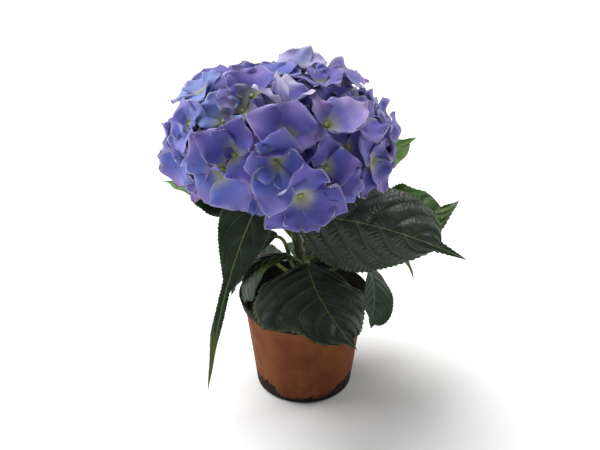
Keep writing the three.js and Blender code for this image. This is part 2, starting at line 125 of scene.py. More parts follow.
def use_modifier(piece, kind, **settings):
    bpy.context.view_layer.objects.active = piece
    modifier = piece.modifiers.new(kind.title(), kind)
    for name, value in settings.items():
        setattr(modifier, name, value)
    bpy.ops.object.modifier_apply(modifier=modifier.name)


def drill(piece, radius, depth, place, rotation=(0, 0, 0)):
    bit = start_piece(
        "drill_bit", bpy.ops.mesh.primitive_cylinder_add, vertices=DRILL_SIDES, radius=radius,
        depth=depth, location=place, rotation=rotation)
    use_modifier(piece, "BOOLEAN", operation="DIFFERENCE", solver="EXACT", object=bit)
    bpy.data.objects.remove(bit)


collar = POT_HEIGHT - COLLAR_HEIGHT
step_radius = wall_radius(collar) + COLLAR_STEP
pot_profile = [
    (FOOT_RADIUS, FOOT_CHAMFER),
    (wall_radius(collar - COLLAR_STEP), collar - COLLAR_STEP),
    (step_radius, collar),
    (LIP_RADIUS, POT_HEIGHT - LIP_ROUND),
    (LIP_RADIUS - LIP_ROUND, POT_HEIGHT),
    (LIP_RADIUS - WALL, POT_HEIGHT),
    (step_radius - WALL, collar + 1 * MM),
    (wall_radius(collar - COLLAR_STEP) - WALL, collar - COLLAR_STEP),
    (wall_radius(FLOOR) - WALL, FLOOR),
]
pot = start_piece(
    "pot_shell", bpy.ops.mesh.primitive_cylinder_add, vertices=POT_SIDES, radius=FOOT_RADIUS,
    depth=FOOT_CHAMFER, location=(0, 0, FOOT_CHAMFER / 2))
start_editing(pot)
pick_faces(pot, lambda face: face.normal.z < -LEVEL)
foot_ratio = 1 - FOOT_CHAMFER / FOOT_RADIUS
bpy.ops.transform.resize(value=(foot_ratio, foot_ratio, 1), center_override=(0, 0, 0))
bpy.ops.mesh.select_all(action="DESELECT")
pick_faces(pot, lambda face: face.normal.z > LEVEL)
carry_cap(pot_profile)
bpy.ops.object.mode_set(mode="OBJECT")
bpy.ops.object.transform_apply(location=True, rotation=True, scale=True)
for hole in range(DRAIN_HOLES):
    turn = math.tau * (hole + 0.5) / DRAIN_HOLES
    drain = (DRAIN_CIRCLE * math.cos(turn), DRAIN_CIRCLE * math.sin(turn), FLOOR / 2)
    drill(pot, DRAIN_RADIUS, 4 * FLOOR, drain)
peg_reach = wall_radius(PEG_HOLE_HEIGHT)
peg_place = (
    peg_reach * math.cos(PEG_HOLE_AZIMUTH), peg_reach * math.sin(PEG_HOLE_AZIMUTH), PEG_HOLE_HEIGHT)
drill(pot, PEG_HOLE_RADIUS, 3 * WALL, peg_place, (0, math.pi / 2, PEG_HOLE_AZIMUTH))
use_modifier(
    pot, "BEVEL", width=EDGE_ROUND, segments=2, limit_method="ANGLE", angle_limit=math.radians(35))
bpy.ops.object.select_all(action="DESELECT")
pot.select_set(True)
bpy.context.view_layer.objects.active = pot
bpy.ops.object.shade_smooth_by_angle(angle=math.radians(40))


def new_finish(name, roughness, **constants):
    """A material, its node tree and its Principled shader, with fixed values on the shader."""
    material = bpy.data.materials.new(name)
    material.use_nodes = True
    shader = material.node_tree.nodes["Principled BSDF"]
    shader.inputs["Roughness"].default_value = roughness
    for socket, value in constants.items():
        shader.inputs[socket.replace("_", " ")].default_value = value
    return material, material.node_tree, shader


def put(tree, kind, values=None, **settings):
    """Add a node. A value that is a socket is wired in, any other is set."""
    node = tree.nodes.new("ShaderNode" + kind)
    for name, value in settings.items():
        setattr(node, name, value)
    for socket, value in (values or {}).items():
        if isinstance(value, bpy.types.NodeSocket):
            tree.links.new(value, node.inputs[socket])
        else:
            node.inputs[socket].default_value = value
    return node


def reckon(operation, first, second=0.0, third=0.0):
    """Add a sum to the tree that the first value, a socket, belongs to."""
    values = {0: first, 1: second, 2: third}
    return put(first.id_data, "Math", values, operation=operation).outputs[0]


def times(first, second):
    return reckon("MULTIPLY", first, second)


def fade(value, low, high):
    """A smooth step from 0 at low to 1 at high, where low may be the greater."""
    values = {"Value": value, "From Min": low, "From Max": high}
    return put(value.id_data, "MapRange", values, interpolation_type="SMOOTHSTEP").outputs[0]


def tint(share, under, over):
    """Lay one colour over another, each a socket or three numbers, by a share from 0 to 1."""
    values = {0: share}
    for socket, colour in ((6, under), (7, over)):
        is_socket = isinstance(colour, bpy.types.NodeSocket)
        values[socket] = colour if is_socket else (*colour, 1)
    return put(share.id_data, "Mix", values, data_type="RGBA").outputs[2]


def mottle(place, scale, detail=3.0, stretch=(1, 1, 1)):
    """Noise from 0 to 1, with the given number of blotches to a metre."""
    spread = put(place.id_data, "Mapping", {"Vector": place, "Scale": stretch}).outputs[0]
    values = {"Vector": spread, "Scale": scale, "Detail": detail}
    return put(place.id_data, "TexNoise", values).outputs[0]


def wire(shader, colour, height, depth):
    """Give a shader its colour, and a relief of the given depth."""
    tree = shader.id_data
    bump = put(tree, "Bump", {"Height": height, "Distance": depth})
    tree.links.new(colour, shader.inputs["Base Color"])
    tree.links.new(bump.outputs[0], shader.inputs["Normal"])


def object_place(tree):
    return put(tree, "TexCoord").outputs["Object"]


def pot_finish():
    """Matt orange-brown plastic, blackened on the collar and black with wet compost round the foot.
    """
    material, tree, shader = new_finish("terracotta_plastic", 0.7, Specular_IOR_Level=0.06)
    place = object_place(tree)
    spot = put(tree, "SeparateXYZ", {0: place})
    height = spot.outputs["Z"]
    cloud = mottle(place, 45, 4)
    streaks = mottle(place, 60, 4, (1, 1, 0.25))
    grit = mottle(place, 420, 5)
    colour = tint(fade(cloud, 0.35, 0.7), *PLASTIC_COLOURS)
    colour = tint(times(fade(streaks, 0.5, 0.75), 0.5), colour, STREAK_COLOUR)
    dust = times(fade(grit, 0.56, 0.70), fade(height, DUST_FADES_FROM, DUST_FADES_TO))
    dust = times(dust, fade(streaks, 0.60, 0.40))
    colour = tint(times(dust, 0.45), colour, DUST_COLOUR)
    sideways = reckon("ABSOLUTE", spot.outputs["X"])
    sideways = fade(sideways, STAIN_CLIMBS_FROM, STAIN_CLIMBS_TO)
    stain_line = reckon("MULTIPLY_ADD", sideways, STAIN_CLIMB, STAIN_HEIGHT)
    for noise, wander in ((cloud, CLOUD_WANDER), (grit, GRIT_WANDER)):
        noise = reckon("SUBTRACT", noise, 0.5)
        stain_line = reckon("MULTIPLY_ADD", noise, wander, stain_line)
    splash = fade(reckon("SUBTRACT", height, stain_line), STAIN_EDGE, -STAIN_EDGE)
    stain = times(splash, fade(grit, 0.25, 0.45))
    foot = fade(reckon("MULTIPLY_ADD", grit, -6 * MM, height), FOOT_GRIME, 0.0)
    # A ragged near-black band also runs round the collar, from just above its step.
    ragged = reckon("MULTIPLY_ADD", reckon("ADD", grit, streaks), 5 * MM, height)
    collar_blackening = fade(ragged, collar + COLLAR_BLACKENING_FROM, collar + COLLAR_BLACKENING_TO)
    stain = reckon("MAXIMUM", reckon("MAXIMUM", stain, foot), collar_blackening)
    blackening = tint(fade(grit, 0.55, 0.7), *BLACKENING_COLOURS)
    colour = tint(stain, colour, blackening)
    rough = reckon("MULTIPLY_ADD", grit, 0.25, 0.55)
    tree.links.new(rough, shader.inputs["Roughness"])
    wire(shader, colour, reckon("ADD", grit, cloud), PLASTIC_RELIEF)
    return material


def pot_inside_finish():
    """The same plastic inside, mottled near black."""
    material, tree, shader = new_finish("inside_plastic", 0.8)
    inside_mottle = mottle(object_place(tree), 180, 5)
    colour = tint(fade(inside_mottle, 0.35, 0.62), *INSIDE_COLOURS)
    wire(shader, colour, inside_mottle, INSIDE_RELIEF)
    return material


pot.data.materials.append(pot_finish())
pot.data.materials.append(pot_inside_finish())
for face in pot.data.polygons:
    middle = Vector((face.center.x, face.center.y, 0))
    faces_in = face.normal.dot(middle) < 0 or face.normal.z > LEVEL
    if faces_in and FLOOR / 2 < face.center.z < POT_HEIGHT - 2 * LIP_ROUND:
        face.material_index = 1
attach(pot, "root")
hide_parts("pot")

# Compost
# Dark moist compost of peat and bark, filled to a finger below the rim. Its
# surface is uneven, with loose crumbs and bark chips lying on it.
SOIL_FOOT, SOIL_TOP = (corner.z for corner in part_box("soil"))
SOIL_SINK = 3 * MM
SOIL_CROWN = 0.6 * SOIL_SINK
SOIL_GAP = 0.3 * MM
SOIL_SIDES = 64
SOIL_CUTS = 13
CLODS = ("clods", 9 * MM, 4 * MM)
CRUMBLE = ("crumble", 2.5 * MM, 1.8 * MM)
CRUMBS = 220
CRUMB_SIZE = 2.4 * MM
CRUMB_DENTS = 0.16
CRUMB_REACH = 0.93
CRUMB_TILT = 0.6
COMPOST_RELIEF = 0.6 * MM
CRUMB_SEED = 907
CHANCE_STEP = 16807
CHANCE_RANGE = 2147483647
COMPOST_COLOURS = ((0.010, 0.007, 0.006), (0.045, 0.030, 0.021))
BARK_COLOUR = (0.11, 0.065, 0.038)


def make_chance(seed):
    """A fixed sequence of numbers, each drawn between two bounds."""
    state = seed

    def chance(low, high):
        nonlocal state
        state = state * CHANCE_STEP % CHANCE_RANGE
        return low + (high - low) * state / CHANCE_RANGE

    return chance


def add_piece(name, mesh):
    piece = bpy.data.objects.new(name, mesh)
    bpy.context.collection.objects.link(piece)
    return piece


soil_edge = SOIL_TOP - SOIL_SINK
soil_radius = wall_radius(soil_edge) - WALL - SOIL_GAP
soil = start_piece(
    "compost", bpy.ops.mesh.primitive_cone_add, vertices=SOIL_SIDES, end_fill_type="TRIFAN",
    radius1=wall_radius(SOIL_FOOT) - WALL - SOIL_GAP, radius2=soil_radius,
    depth=soil_edge - SOIL_FOOT, location=(0, 0, (soil_edge + SOIL_FOOT) / 2))
start_editing(soil)
pick_faces(soil, lambda face: face.normal.z > LEVEL)
bpy.ops.mesh.subdivide(number_cuts=SOIL_CUTS)
bpy.ops.object.mode_set(mode="OBJECT")
bpy.ops.object.transform_apply(location=True, rotation=True, scale=True)
surface = soil.vertex_groups.new(name="surface")
for vertex in soil.data.vertices:
    reach = vertex.co.xy.length / soil_radius
    if vertex.co.z > soil_edge - MM and reach < 0.995:
        surface.add([vertex.index], 1 - reach ** 8, "REPLACE")
        vertex.co.z += SOIL_CROWN * (1 - reach ** 2)
for name, grain, depth in (CLODS, CRUMBLE):
    lumps = bpy.data.textures.new(name, "CLOUDS")
    lumps.noise_scale = grain
    use_modifier(soil, "DISPLACE", texture=lumps, strength=depth, direction="Z",
                 texture_coords="LOCAL", vertex_group="surface")

chance = make_chance(CRUMB_SEED)
crumb = start_piece("crumb", bpy.ops.mesh.primitive_ico_sphere_add, subdivisions=2, radius=1)
crumbs = []
for number in range(CRUMBS):
    turn = chance(0, math.tau)
    reach = soil_radius * CRUMB_REACH * math.sqrt(chance(0.02, 1))
    size = chance(0.7, 1) ** 3 * CRUMB_SIZE
    lump = add_piece("crumb", crumb.data.copy())
    shape = Matrix.Diagonal((size, size * chance(0.5, 1), size * chance(0.3, 0.7), 1))
    spin = Matrix.Rotation(chance(0, math.tau), 4, "Z")
    spin = spin @ Matrix.Rotation(chance(-CRUMB_TILT, CRUMB_TILT), 4, "X")
    rest = soil_edge + SOIL_CROWN * (1 - (reach / soil_radius) ** 2) + chance(0, 0.8) * MM
    place = Matrix.Translation((reach * math.cos(turn), reach * math.sin(turn), rest))
    lump.data.transform(place @ spin @ shape)
    for vertex in lump.data.vertices:
        vertex.co += Vector((chance(-1, 1), chance(-1, 1), chance(-1, 1))) * size * CRUMB_DENTS
    crumbs.append(lump)
bpy.data.objects.remove(crumb)


def join_pieces(pieces, name):
    bpy.ops.object.select_all(action="DESELECT")
    for piece in pieces:
        piece.select_set(True)
    bpy.context.view_layer.objects.active = pieces[0]
    bpy.ops.object.join()
    pieces[0].name = name
    return pieces[0]


soil = join_pieces([soil] + crumbs, "compost")
bpy.ops.object.shade_smooth_by_angle(angle=math.radians(50))


def compost_finish():
    """Nearly black fibrous compost with paler bark and grit in it."""
    material, tree, shader = new_finish("compost", 0.92)
    place = object_place(tree)
    grain = mottle(place, 600, 5)
    patches = mottle(place, 90, 3)
    colour = tint(fade(grain, 0.35, 0.7), *COMPOST_COLOURS)
    bark = fade(patches, 0.62, 0.72)
    colour = tint(times(bark, 0.6), colour, BARK_COLOUR)
    wire(shader, colour, grain, COMPOST_RELIEF)
    return material


soil.data.materials.clear()
soil.data.materials.append(compost_finish())
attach(soil, "root")
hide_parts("soil")

# Stem
# One young green stem, not yet woody. It leaves the compost upright, leans to
# the front left, swells at each pair of leaves and ends in a knob under the head.
HEAD_FOCUS = Vector((-19, -13, 205)) * MM
STEM_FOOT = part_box("main_stem")[0].z
STEM_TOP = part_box("main_stem")[1].z
STEM_LEAN_POWER = 1.8
STEM_RADIUS = 4.3
STEM_NARROWING = 1
FOOT_FLARE = 1.9
FOOT_FLARE_HEIGHT = 7 * MM
NODE_HEIGHTS = [104, 116, 128, 140, 152, 164, 176]
NODE_SWELL = 1.3
NODE_SPREAD = 3
KNOB_RADIUS = 7.5 * MM
KNOB_REACH = 12 * MM
STEM_SIDES = 28
STEM_RING = 1.5 * MM
RIPPLE_GRAIN = 5 * MM
RIPPLE_DEPTH = 0.5 * MM
STEM_RELIEF = 0.15 * MM
STEM_GREEN = (0.055, 0.07, 0.02)
STEM_FLECKS = (0.045, 0.02, 0.02)


def stem_axis(height):
    rise = max(0, (height - SOIL_TOP) / (HEAD_FOCUS.z - SOIL_TOP))
    lean = rise ** STEM_LEAN_POWER
    return Vector((HEAD_FOCUS.x * lean, HEAD_FOCUS.y * lean, height))


def stem_radius(height):
    rise = (height - SOIL_TOP) / (HEAD_FOCUS.z - SOIL_TOP)
    radius = STEM_RADIUS - STEM_NARROWING * rise
    radius += FOOT_FLARE * math.exp(-(height - SOIL_TOP) / FOOT_FLARE_HEIGHT)
    for node in NODE_HEIGHTS:
        radius += NODE_SWELL * math.exp(-((height / MM - node) / NODE_SPREAD) ** 2)
    up = (height - HEAD_FOCUS.z) / KNOB_REACH
    if up > -1:
        radius = max(radius, KNOB_RADIUS / MM * math.cos(up * math.pi / 2))
    return radius * MM


stem = start_piece(
    "stem_bark", bpy.ops.mesh.primitive_circle_add, vertices=STEM_SIDES, fill_type="NGON",
    radius=stem_radius(STEM_FOOT), location=stem_axis(STEM_FOOT))
start_editing(stem)
bpy.ops.mesh.select_all(action="SELECT")
rings = round((STEM_TOP - STEM_FOOT) / STEM_RING)
for ring in range(rings):
    low = STEM_FOOT + (STEM_TOP - STEM_FOOT) * ring / rings
    high = STEM_FOOT + (STEM_TOP - STEM_FOOT) * (ring + 1) / rings
    climb = stem_axis(high) - stem_axis(low)
    bpy.ops.mesh.extrude_region_move(TRANSFORM_OT_translate={"value": climb})
    ratio = stem_radius(high) / stem_radius(low)
    bpy.ops.transform.resize(value=(ratio, ratio, 1), center_override=stem_axis(high))
bpy.ops.mesh.select_all(action="SELECT")
bpy.ops.mesh.normals_make_consistent(inside=False)
bpy.ops.object.mode_set(mode="OBJECT")
bpy.ops.object.transform_apply(location=True, rotation=True, scale=True)
ripple = bpy.data.textures.new("stem_ripple", "CLOUDS")
ripple.noise_scale = RIPPLE_GRAIN
use_modifier(stem, "DISPLACE", texture=ripple, strength=RIPPLE_DEPTH, texture_coords="LOCAL")
bpy.ops.object.shade_smooth_by_angle(angle=math.radians(60))


def scaled(colour, factor):
    return tuple(factor * part for part in colour)


def stem_finish(name, green, fleck_colour, fleck_share):
    """Green skin with purple-brown flecks that run along it."""
    material, tree, shader = new_finish(name, 0.5, Specular_IOR_Level=0.4)
    place = object_place(tree)
    tone = mottle(place, 70, 3, (1, 1, 0.4))
    flecks = mottle(place, 420, 2, (1, 1, 0.35))
    colour = tint(fade(tone, 0.3, 0.7), green, scaled(green, 1.5))
    marks = times(fade(flecks, 0.56, 0.64), fleck_share)
    colour = tint(marks, colour, fleck_colour)
    wire(shader, colour, flecks, STEM_RELIEF)
    return material


stem.data.materials.append(stem_finish("stem_skin", STEM_GREEN, STEM_FLECKS, 0.9))
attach(stem, "root")
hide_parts("main_stem")

# Leaves
# Large ovate leaves in pairs up the stem, each on a short stalk. The blade is
# leathery, toothed round its edge and puckered between sunk arching veins.
RIB_STEPS = 480
BLADE_STATIONS = 240
BLADE_STRIPS = 38
BLADE_SHARPNESS = 0.62
EDGE_CROWDING = 0.3
BLADE_THICKNESS = 0.7
LEAST_HALF_WIDTH = 0.25
WIDE_LEAF = 90
TAIL_OVERLAP = 0.6
TOOTH_PITCH = 4.2
TOOTH_DEPTH = 1.7
VEIN_SPACING = 0.135
VEIN_SLANT = 0.75
VEIN_SWEEP = 0.17
VEIN_CURL = 0.15
VEIN_STAGGER = 0.4
VEIN_WIDTH = 1.3
RIB_WIDTH = 1.6
GROOVE_DEPTH = 0.35
PUCKER = 1.9
EDGE_WAVES = (3.0, 4.2)
EDGE_WAVE_HEIGHT = 0.022
RUNG_PITCH = 3.8
RUNG_HEIGHT = 1.6
RUNG_WANDER = 16.0
RUNG_SLANT = (0.65, 0.75)
NET_SCALE = 520.0
LEAF_RELIEF = 0.12 * MM
LEAF_SEED = 5309
LEAF_STALK_RADII = (2.5 * MM, 1.3 * MM)
LEAF_STALK_SUNK = 9 * MM
LEAF_STALK_OUT = 0.4
LEAF_STALK_UP = 0.1
LEAF_STALK_ARRIVAL = 0.35
LEAF_STALK_GREEN = (0.10, 0.13, 0.025)
LEAF_STALK_FLECKS = (0.05, 0.05, 0.02)
PALE_TIP = (0.115, 0.155, 0.035)
# The colour of the upper side, of the veins and of the underside
LEAF_COLOURS = {
    # The darkest colours are partly painted shade, for the front and inner leaves that hang in
    # shade.
    "darkest_painted_shade": ((0.018, 0.027, 0.019), (0.15, 0.20, 0.06), (0.05, 0.085, 0.045)),
    "dark": ((0.016, 0.030, 0.017), (0.18, 0.25, 0.09), (0.06, 0.105, 0.05)),
    "grey": ((0.032, 0.062, 0.032), (0.15, 0.19, 0.13), (0.09, 0.13, 0.08)),
    # The olive colours are partly the leaf's own yellow-green and partly painted light: lighter,
    # for the arching leaf on which light falls.
    "olive": ((0.030, 0.050, 0.012), (0.15, 0.19, 0.05), (0.04, 0.06, 0.03)),
    "green": ((0.024, 0.062, 0.010), (0.11, 0.17, 0.045), (0.13, 0.23, 0.06)),
    "bright": ((0.045, 0.115, 0.018), (0.17, 0.28, 0.055), (0.13, 0.23, 0.06)),
}

# Each: the stem node it grows from, the base of its blade, its length and
# width in millimetres, how heading, pitch and roll run from base to tip in
# degrees, the fold along the rib and the droop of the sides. The pairs of
# broadest, share and tip_share are for the right and the left half of the
# blade. A bend under 1 brings the fall in pitch nearer the base, and a cut
# narrows the blade from one place along it to another, by two depths.
LEAVES = [
    dict(name="leaf_right_large", node=164, base=(-9, -13, 180), length=157, width=92,
         heading=(-2, -17), pitch=(3, -21), bend=0.64, roll=(-34, -74), fold=-17, droop=0.23,
         broadest=(0.38, 0.49), share=(0.92, 0.95), tip=0.28, tip_share=(0.21, 0.21), taper=0.81,
         pucker=1.1, rungs=2, gloss=0.45),
    dict(name="leaf_right_behind", node=140, base=(16, 14, 158), length=133, width=75,
         heading=(-6, 24), pitch=(-6, 19), bend=1.03, roll=(-23, -23), fold=7, droop=0.1,
         broadest=(0.58, 0.67), share=(0.88, 1.15), tip=0.24, tip_share=(0.69, 0.1), taper=0.81,
         cut=(0.68, 0.79, 0.25, 0.13), pale_tip=(0.81, 0.86), pale=(0.09, 0.14, 0.045), gloss=0.2,
         colour="green"),
    dict(name="leaf_right_under", node=128, base=(29, 9, 137), length=90, width=20,
         heading=(6, -40), pitch=(12, -84), bend=2, roll=(-10, 0), fold=8, droop=0.1, tip=0.24,
         tip_share=(0.4, 0.4), pale_tip=(0.66, 0.80)),
    dict(name="leaf_right_hanging", node=104, base=(57, -8, 129), length=62, width=31,
         heading=(-45, -138), pitch=(-45, -81), bend=0.77, roll=(36, 3), fold=10, droop=0.1,
         broadest=(0.42, 0.65), share=(0.78, 1.16), tip=0.13, tip_share=(0.3, 0.3), taper=1.04,
         colour="grey"),
    dict(name="leaf_front", node=116, base=(4, -12, 132), length=116, width=111,
         heading=(-92, -45), pitch=(8, -29), bend=0.78, roll=(-2, 9), fold=-5, droop=0.18,
         broadest=(0.55, 0.62), share=(1.01, 0.83), tip=0.16, tip_share=(0.13, 0.13), taper=1.13,
         cut=(0.53, 0.67, 0.28, 0.14), pucker=0.7, rungs=0.5, gloss=0.12, colour="darkest_painted_shade"),
    # This leaf's olive colour and pale tip are partly painted light.
    dict(name="leaf_left_arching", node=128, base=(-8, -16, 138), length=76, width=34,
         heading=(176, 233), pitch=(29, -98), bend=0.9, roll=(-7, -9), fold=5, droop=0.2,
         broadest=(0.4, 0.6), tip=0.06, pale_tip=(0.5, 0.6), pale=(0.06, 0.085, 0.06), gloss=0.1,
         colour="olive"),
    dict(name="leaf_left_inner", node=116, base=(-24, -5, 157), length=78, width=46,
         heading=(-178, -160), pitch=(-25, -78), bend=0.81, fold=14, droop=0.1, gloss=0.05,
         colour="darkest_painted_shade"),
    dict(name="leaf_left_middle", node=152, base=(-26, 8, 166), length=80, width=56,
         heading=(173, 167), pitch=(25, 4), roll=(9, 9), fold=7, droop=0.08, broadest=(0.6, 0.6),
         tip=0.05, gloss=0.1),
    dict(name="leaf_left_long", node=176, base=(-34, -8, 200), length=196, width=46,
         heading=(-131, -148), pitch=(-17, -82), bend=0.29, roll=(29, 95), fold=7, droop=0.14,
         broadest=(0.43, 0.52), share=(1, 0.78), tip=0.75, taper=2.18, tip_point=0.3,
         tip_share=(0.23, 0.23), pale_tip=(0.62, 0.78), pucker=0.8, rungs=0.5, gloss=0.12),
    dict(name="leaf_left_upper", node=164, base=(-38, 6, 180), length=98, width=49,
         heading=(167, 161), pitch=(14, 1), fold=11, droop=0.09, colour="bright"),
    dict(name="leaf_right_upper", node=176, base=(0, 24, 184), length=140, width=58,
         heading=(30, 42), pitch=(14, 6), roll=(0, -19), fold=12, droop=0.08, colour="bright"),
    dict(name="leaf_back", node=104, base=(4, 20, 114), length=108, width=60, heading=(76, 86),
         pitch=(10, -50), roll=(0, 5), fold=5, droop=0.15, gloss=0.1),
    dict(name="leaf_back_left", node=104, base=(-26, 18, 114), length=68, width=54,
         heading=(142, 152), pitch=(14, -52), fold=6, droop=0.12, gloss=0.1),
    dict(name="leaf_back_right", node=152, base=(2, 30, 142), length=108, width=70,
         heading=(56, 46), pitch=(0, -40), roll=(0, -8), fold=7, droop=0.12),
]
USUAL_LEAF = dict(
    bend=1, roll=(0, 0), broadest=(0.45, 0.45), share=(1, 1), tip=0.14, tip_share=(0.2, 0.2),
    taper=1, cut=(0, 1, 0, 0), pucker=1, rungs=1, gloss=0.3, colour="dark", pale=PALE_TIP)


def blade_blank(name, stations, strips):
    """A flat closed blank, thin as a lens: x runs from base to tip, y from edge to
    edge and z is the side. Its map lays the upper side and the underside side by side."""
    blank = start_piece(
        name, bpy.ops.mesh.primitive_grid_add, x_subdivisions=stations,
        y_subdivisions=2 * strips, size=1)
    for vertex in blank.data.vertices:
        along = vertex.co.x + 0.5
        turn = 2 * (vertex.co.y + 0.5)
        even = 2 * turn - 1 if turn < 1 else 3 - 2 * turn
        across = (1 - EDGE_CROWDING) * even - EDGE_CROWDING * math.cos(turn * math.pi)
        side = math.sin(turn * math.pi) * math.sqrt(4 * along * (1 - along))
        vertex.co = (along, across, side)
    start_editing(blank)
    bpy.ops.mesh.select_all(action="SELECT")
    bpy.ops.mesh.remove_doubles(threshold=1e-6)
    bpy.ops.mesh.normals_make_consistent(inside=False)
    bpy.ops.object.mode_set(mode="OBJECT")
    mesh = blank.data
    mesh.uv_layers[0].name = "OFBake"
    corners = np.array([vertex.co for vertex in mesh.vertices])
    for layer, values in (("along", corners[:, 0]), ("across", corners[:, 1])):
        attribute = mesh.attributes.new(layer, "FLOAT", "POINT")
        attribute.data.foreach_set("value", values.astype(np.float32))
    for face in mesh.polygons:
        face.material_index = 0 if face.center.z > 0 else 1
        face.use_smooth = True
    return blank


def smooth_step(low, high, value):
    share = np.clip((value - low) / (high - low), 0, 1)
    return share * share * (3 - 2 * share)


def leaf_direction(leaf, s):
    heading = np.radians(leaf["heading"][0] + (leaf["heading"][1] - leaf["heading"][0]) * s)
    drop = leaf["pitch"][1] - leaf["pitch"][0]
    pitch = np.radians(leaf["pitch"][0] + drop * s ** leaf["bend"])
    return np.stack([
        np.cos(heading) * np.cos(pitch), np.sin(heading) * np.cos(pitch), np.sin(pitch)], -1)


def leaf_rib(leaf, s):
    """Points on the midrib, in millimetres."""
    steps = leaf_direction(leaf, (np.arange(RIB_STEPS) + 0.5) / RIB_STEPS)
    knots = np.vstack([np.zeros(3), np.cumsum(steps, 0)]) * leaf["length"] / RIB_STEPS
    at = np.linspace(0, 1, RIB_STEPS + 1)
    return np.stack([
        start + np.interp(s, at, knot) for start, knot in zip(leaf["base"], knots.T)], -1)


def leaf_sides(leaf, s):
    """The directions across the blade and out of its upper side."""
    along = leaf_direction(leaf, s)
    level = np.cross(along, (0, 0, 1))
    level /= np.linalg.norm(level, axis=-1, keepdims=True)
    above = np.cross(level, along)
    roll = np.radians(leaf["roll"][0] + (leaf["roll"][1] - leaf["roll"][0]) * s)[:, None]
    side = level * np.cos(roll) + above * np.sin(roll)
    normal = above * np.cos(roll) - level * np.sin(roll)
    return side, normal


def leaf_half_width(leaf, s, right_hand):
    """Half the width of the blade on its right or left, in millimetres."""
    broadest = np.where(right_hand, *leaf["broadest"])
    half = leaf["width"] / 2 * np.where(right_hand, *leaf["share"])
    u = np.minimum(s / (1 - TAIL_OVERLAP * leaf["tip"]), 1)
    fall = BLADE_SHARPNESS * (1 - broadest) / broadest * leaf["taper"]
    body = (u / broadest) ** BLADE_SHARPNESS * ((1 - u) / (1 - broadest)) ** fall
    point = leaf.get("tip_point", leaf["tip"])
    start, end, *depths = leaf["cut"]
    body = body * (1 - np.where(right_hand, *depths) * smooth_step(start, end, s))
    drip = np.where(right_hand, *leaf["tip_share"]) * np.minimum(1, (1 - s) / point)
    drip = np.where(s > 0.5 * (1 - leaf["tip"]), drip, 0)
    return np.maximum(LEAST_HALF_WIDTH, half * np.maximum(body, drip))


def copy_blank(blank):
    """A copy of the blank, and how far along, across and out of it each point lies."""
    mesh = blank.data.copy()
    points = np.empty(len(mesh.vertices) * 3)
    mesh.vertices.foreach_get("co", points)
    return mesh, *points.reshape(-1, 3).T


def shape_blade(leaf, blank, chance):
    """Bend a copy of the blank into the leaf, with its teeth, veins and puckers."""
    mesh, s, across, face = copy_blank(blank)
    edge = np.abs(across)
    size = leaf["width"] / WIDE_LEAF
    half = leaf_half_width(leaf, s, across > 0)
    teeth = (s * leaf["length"] / (TOOTH_PITCH * size ** 0.5)) % 1
    bite = TOOTH_DEPTH * size ** 0.5 * (teeth ** 1.3 - 0.5)
    bite = bite * smooth_step(0.06, 0.16, s) * smooth_step(0.97, 0.85, s) * edge ** 12
    sweep = VEIN_SWEEP * edge + VEIN_CURL * edge ** 3
    order = (s - sweep) / VEIN_SPACING + np.where(across > 0, VEIN_STAGGER, 0)
    nearest = np.round(order)
    off = np.abs(order - nearest)
    from_vein = off * VEIN_SPACING * leaf["length"] * VEIN_SLANT
    groove = np.exp(-(from_vein / (VEIN_WIDTH * size)) ** 2)
    groove = groove + np.exp(-(half * edge / (RIB_WIDTH * size)) ** 2)
    puff = np.sin(np.pi * off) * np.minimum(1, half * edge / (6 * size)) * (1 - edge ** 4)
    wave_turn = s * chance(*EDGE_WAVES) + np.where(across > 0, chance(0, 1), chance(0, 1))
    wave = np.sin(math.tau * wave_turn) * edge ** 3 * smooth_step(0, 0.2, s)
    lift = PUCKER * leaf["pucker"] * size * (puff - GROOVE_DEPTH * np.minimum(groove, 1.2))
    lift = lift + leaf["width"] * EDGE_WAVE_HEIGHT * wave
    lift = lift * smooth_step(0, 0.08, s) * smooth_step(1, 0.86, s)
    side, normal = leaf_sides(leaf, s)
    fold = math.radians(leaf["fold"])
    height = half * (edge * math.sin(fold) - leaf["droop"] * across ** 2) + lift
    height = height + face * BLADE_THICKNESS / 2
    place = leaf_rib(leaf, s) + side * ((half + bite) * across * math.cos(fold))[:, None]
    place = place + normal * height[:, None]
    mesh.vertices.foreach_set("co", (place * MM).ravel())
    rib = mesh.attributes.new("from_rib", "FLOAT", "POINT")
    rib.data.foreach_set("value", (half * edge).astype(np.float32))
    mesh.update()
    return mesh


def tube(name, places, radii, sides):
    """A tapering stalk along a smooth curve of four control points."""
    stalk = start_piece(name, bpy.ops.curve.primitive_bezier_curve_add, location=(0, 0, 0))
    stalk.data.bevel_depth = 1
    stalk.data.bevel_resolution = sides
    stalk.data.resolution_u = 14
    stalk.data.use_fill_caps = True
    foot, tip = stalk.data.splines[0].bezier_points
    for point in (foot, tip):
        point.handle_left_type = point.handle_right_type = "FREE"
    foot.co, foot.handle_right, tip.handle_left, tip.co = places
    foot.handle_left = places[0]
    tip.handle_right = places[3]
    foot.radius, tip.radius = radii
    bpy.ops.object.convert(target="MESH")
    bpy.ops.object.shade_smooth()
    return bpy.context.object


def leaf_stalk(leaf):
    foot = stem_axis(leaf["node"] * MM)
    base = Vector(leaf["base"]) * MM
    along = Vector(leaf_direction(leaf, np.zeros(1))[0])
    reach = (base - foot).length
    out = Vector((base.x - foot.x, base.y - foot.y, 0)).normalized() * reach * LEAF_STALK_OUT
    up = Vector((0, 0, reach * LEAF_STALK_UP))
    arrival = base - along * reach * LEAF_STALK_ARRIVAL
    places = [foot, foot + out + up, arrival, base + along * LEAF_STALK_SUNK]
    return tube(leaf["name"] + "_stalk", places, LEAF_STALK_RADII, 3)


def read_layers(tree, *layers):
    return [put(tree, "Attribute", attribute_name=layer).outputs["Fac"] for layer in layers]


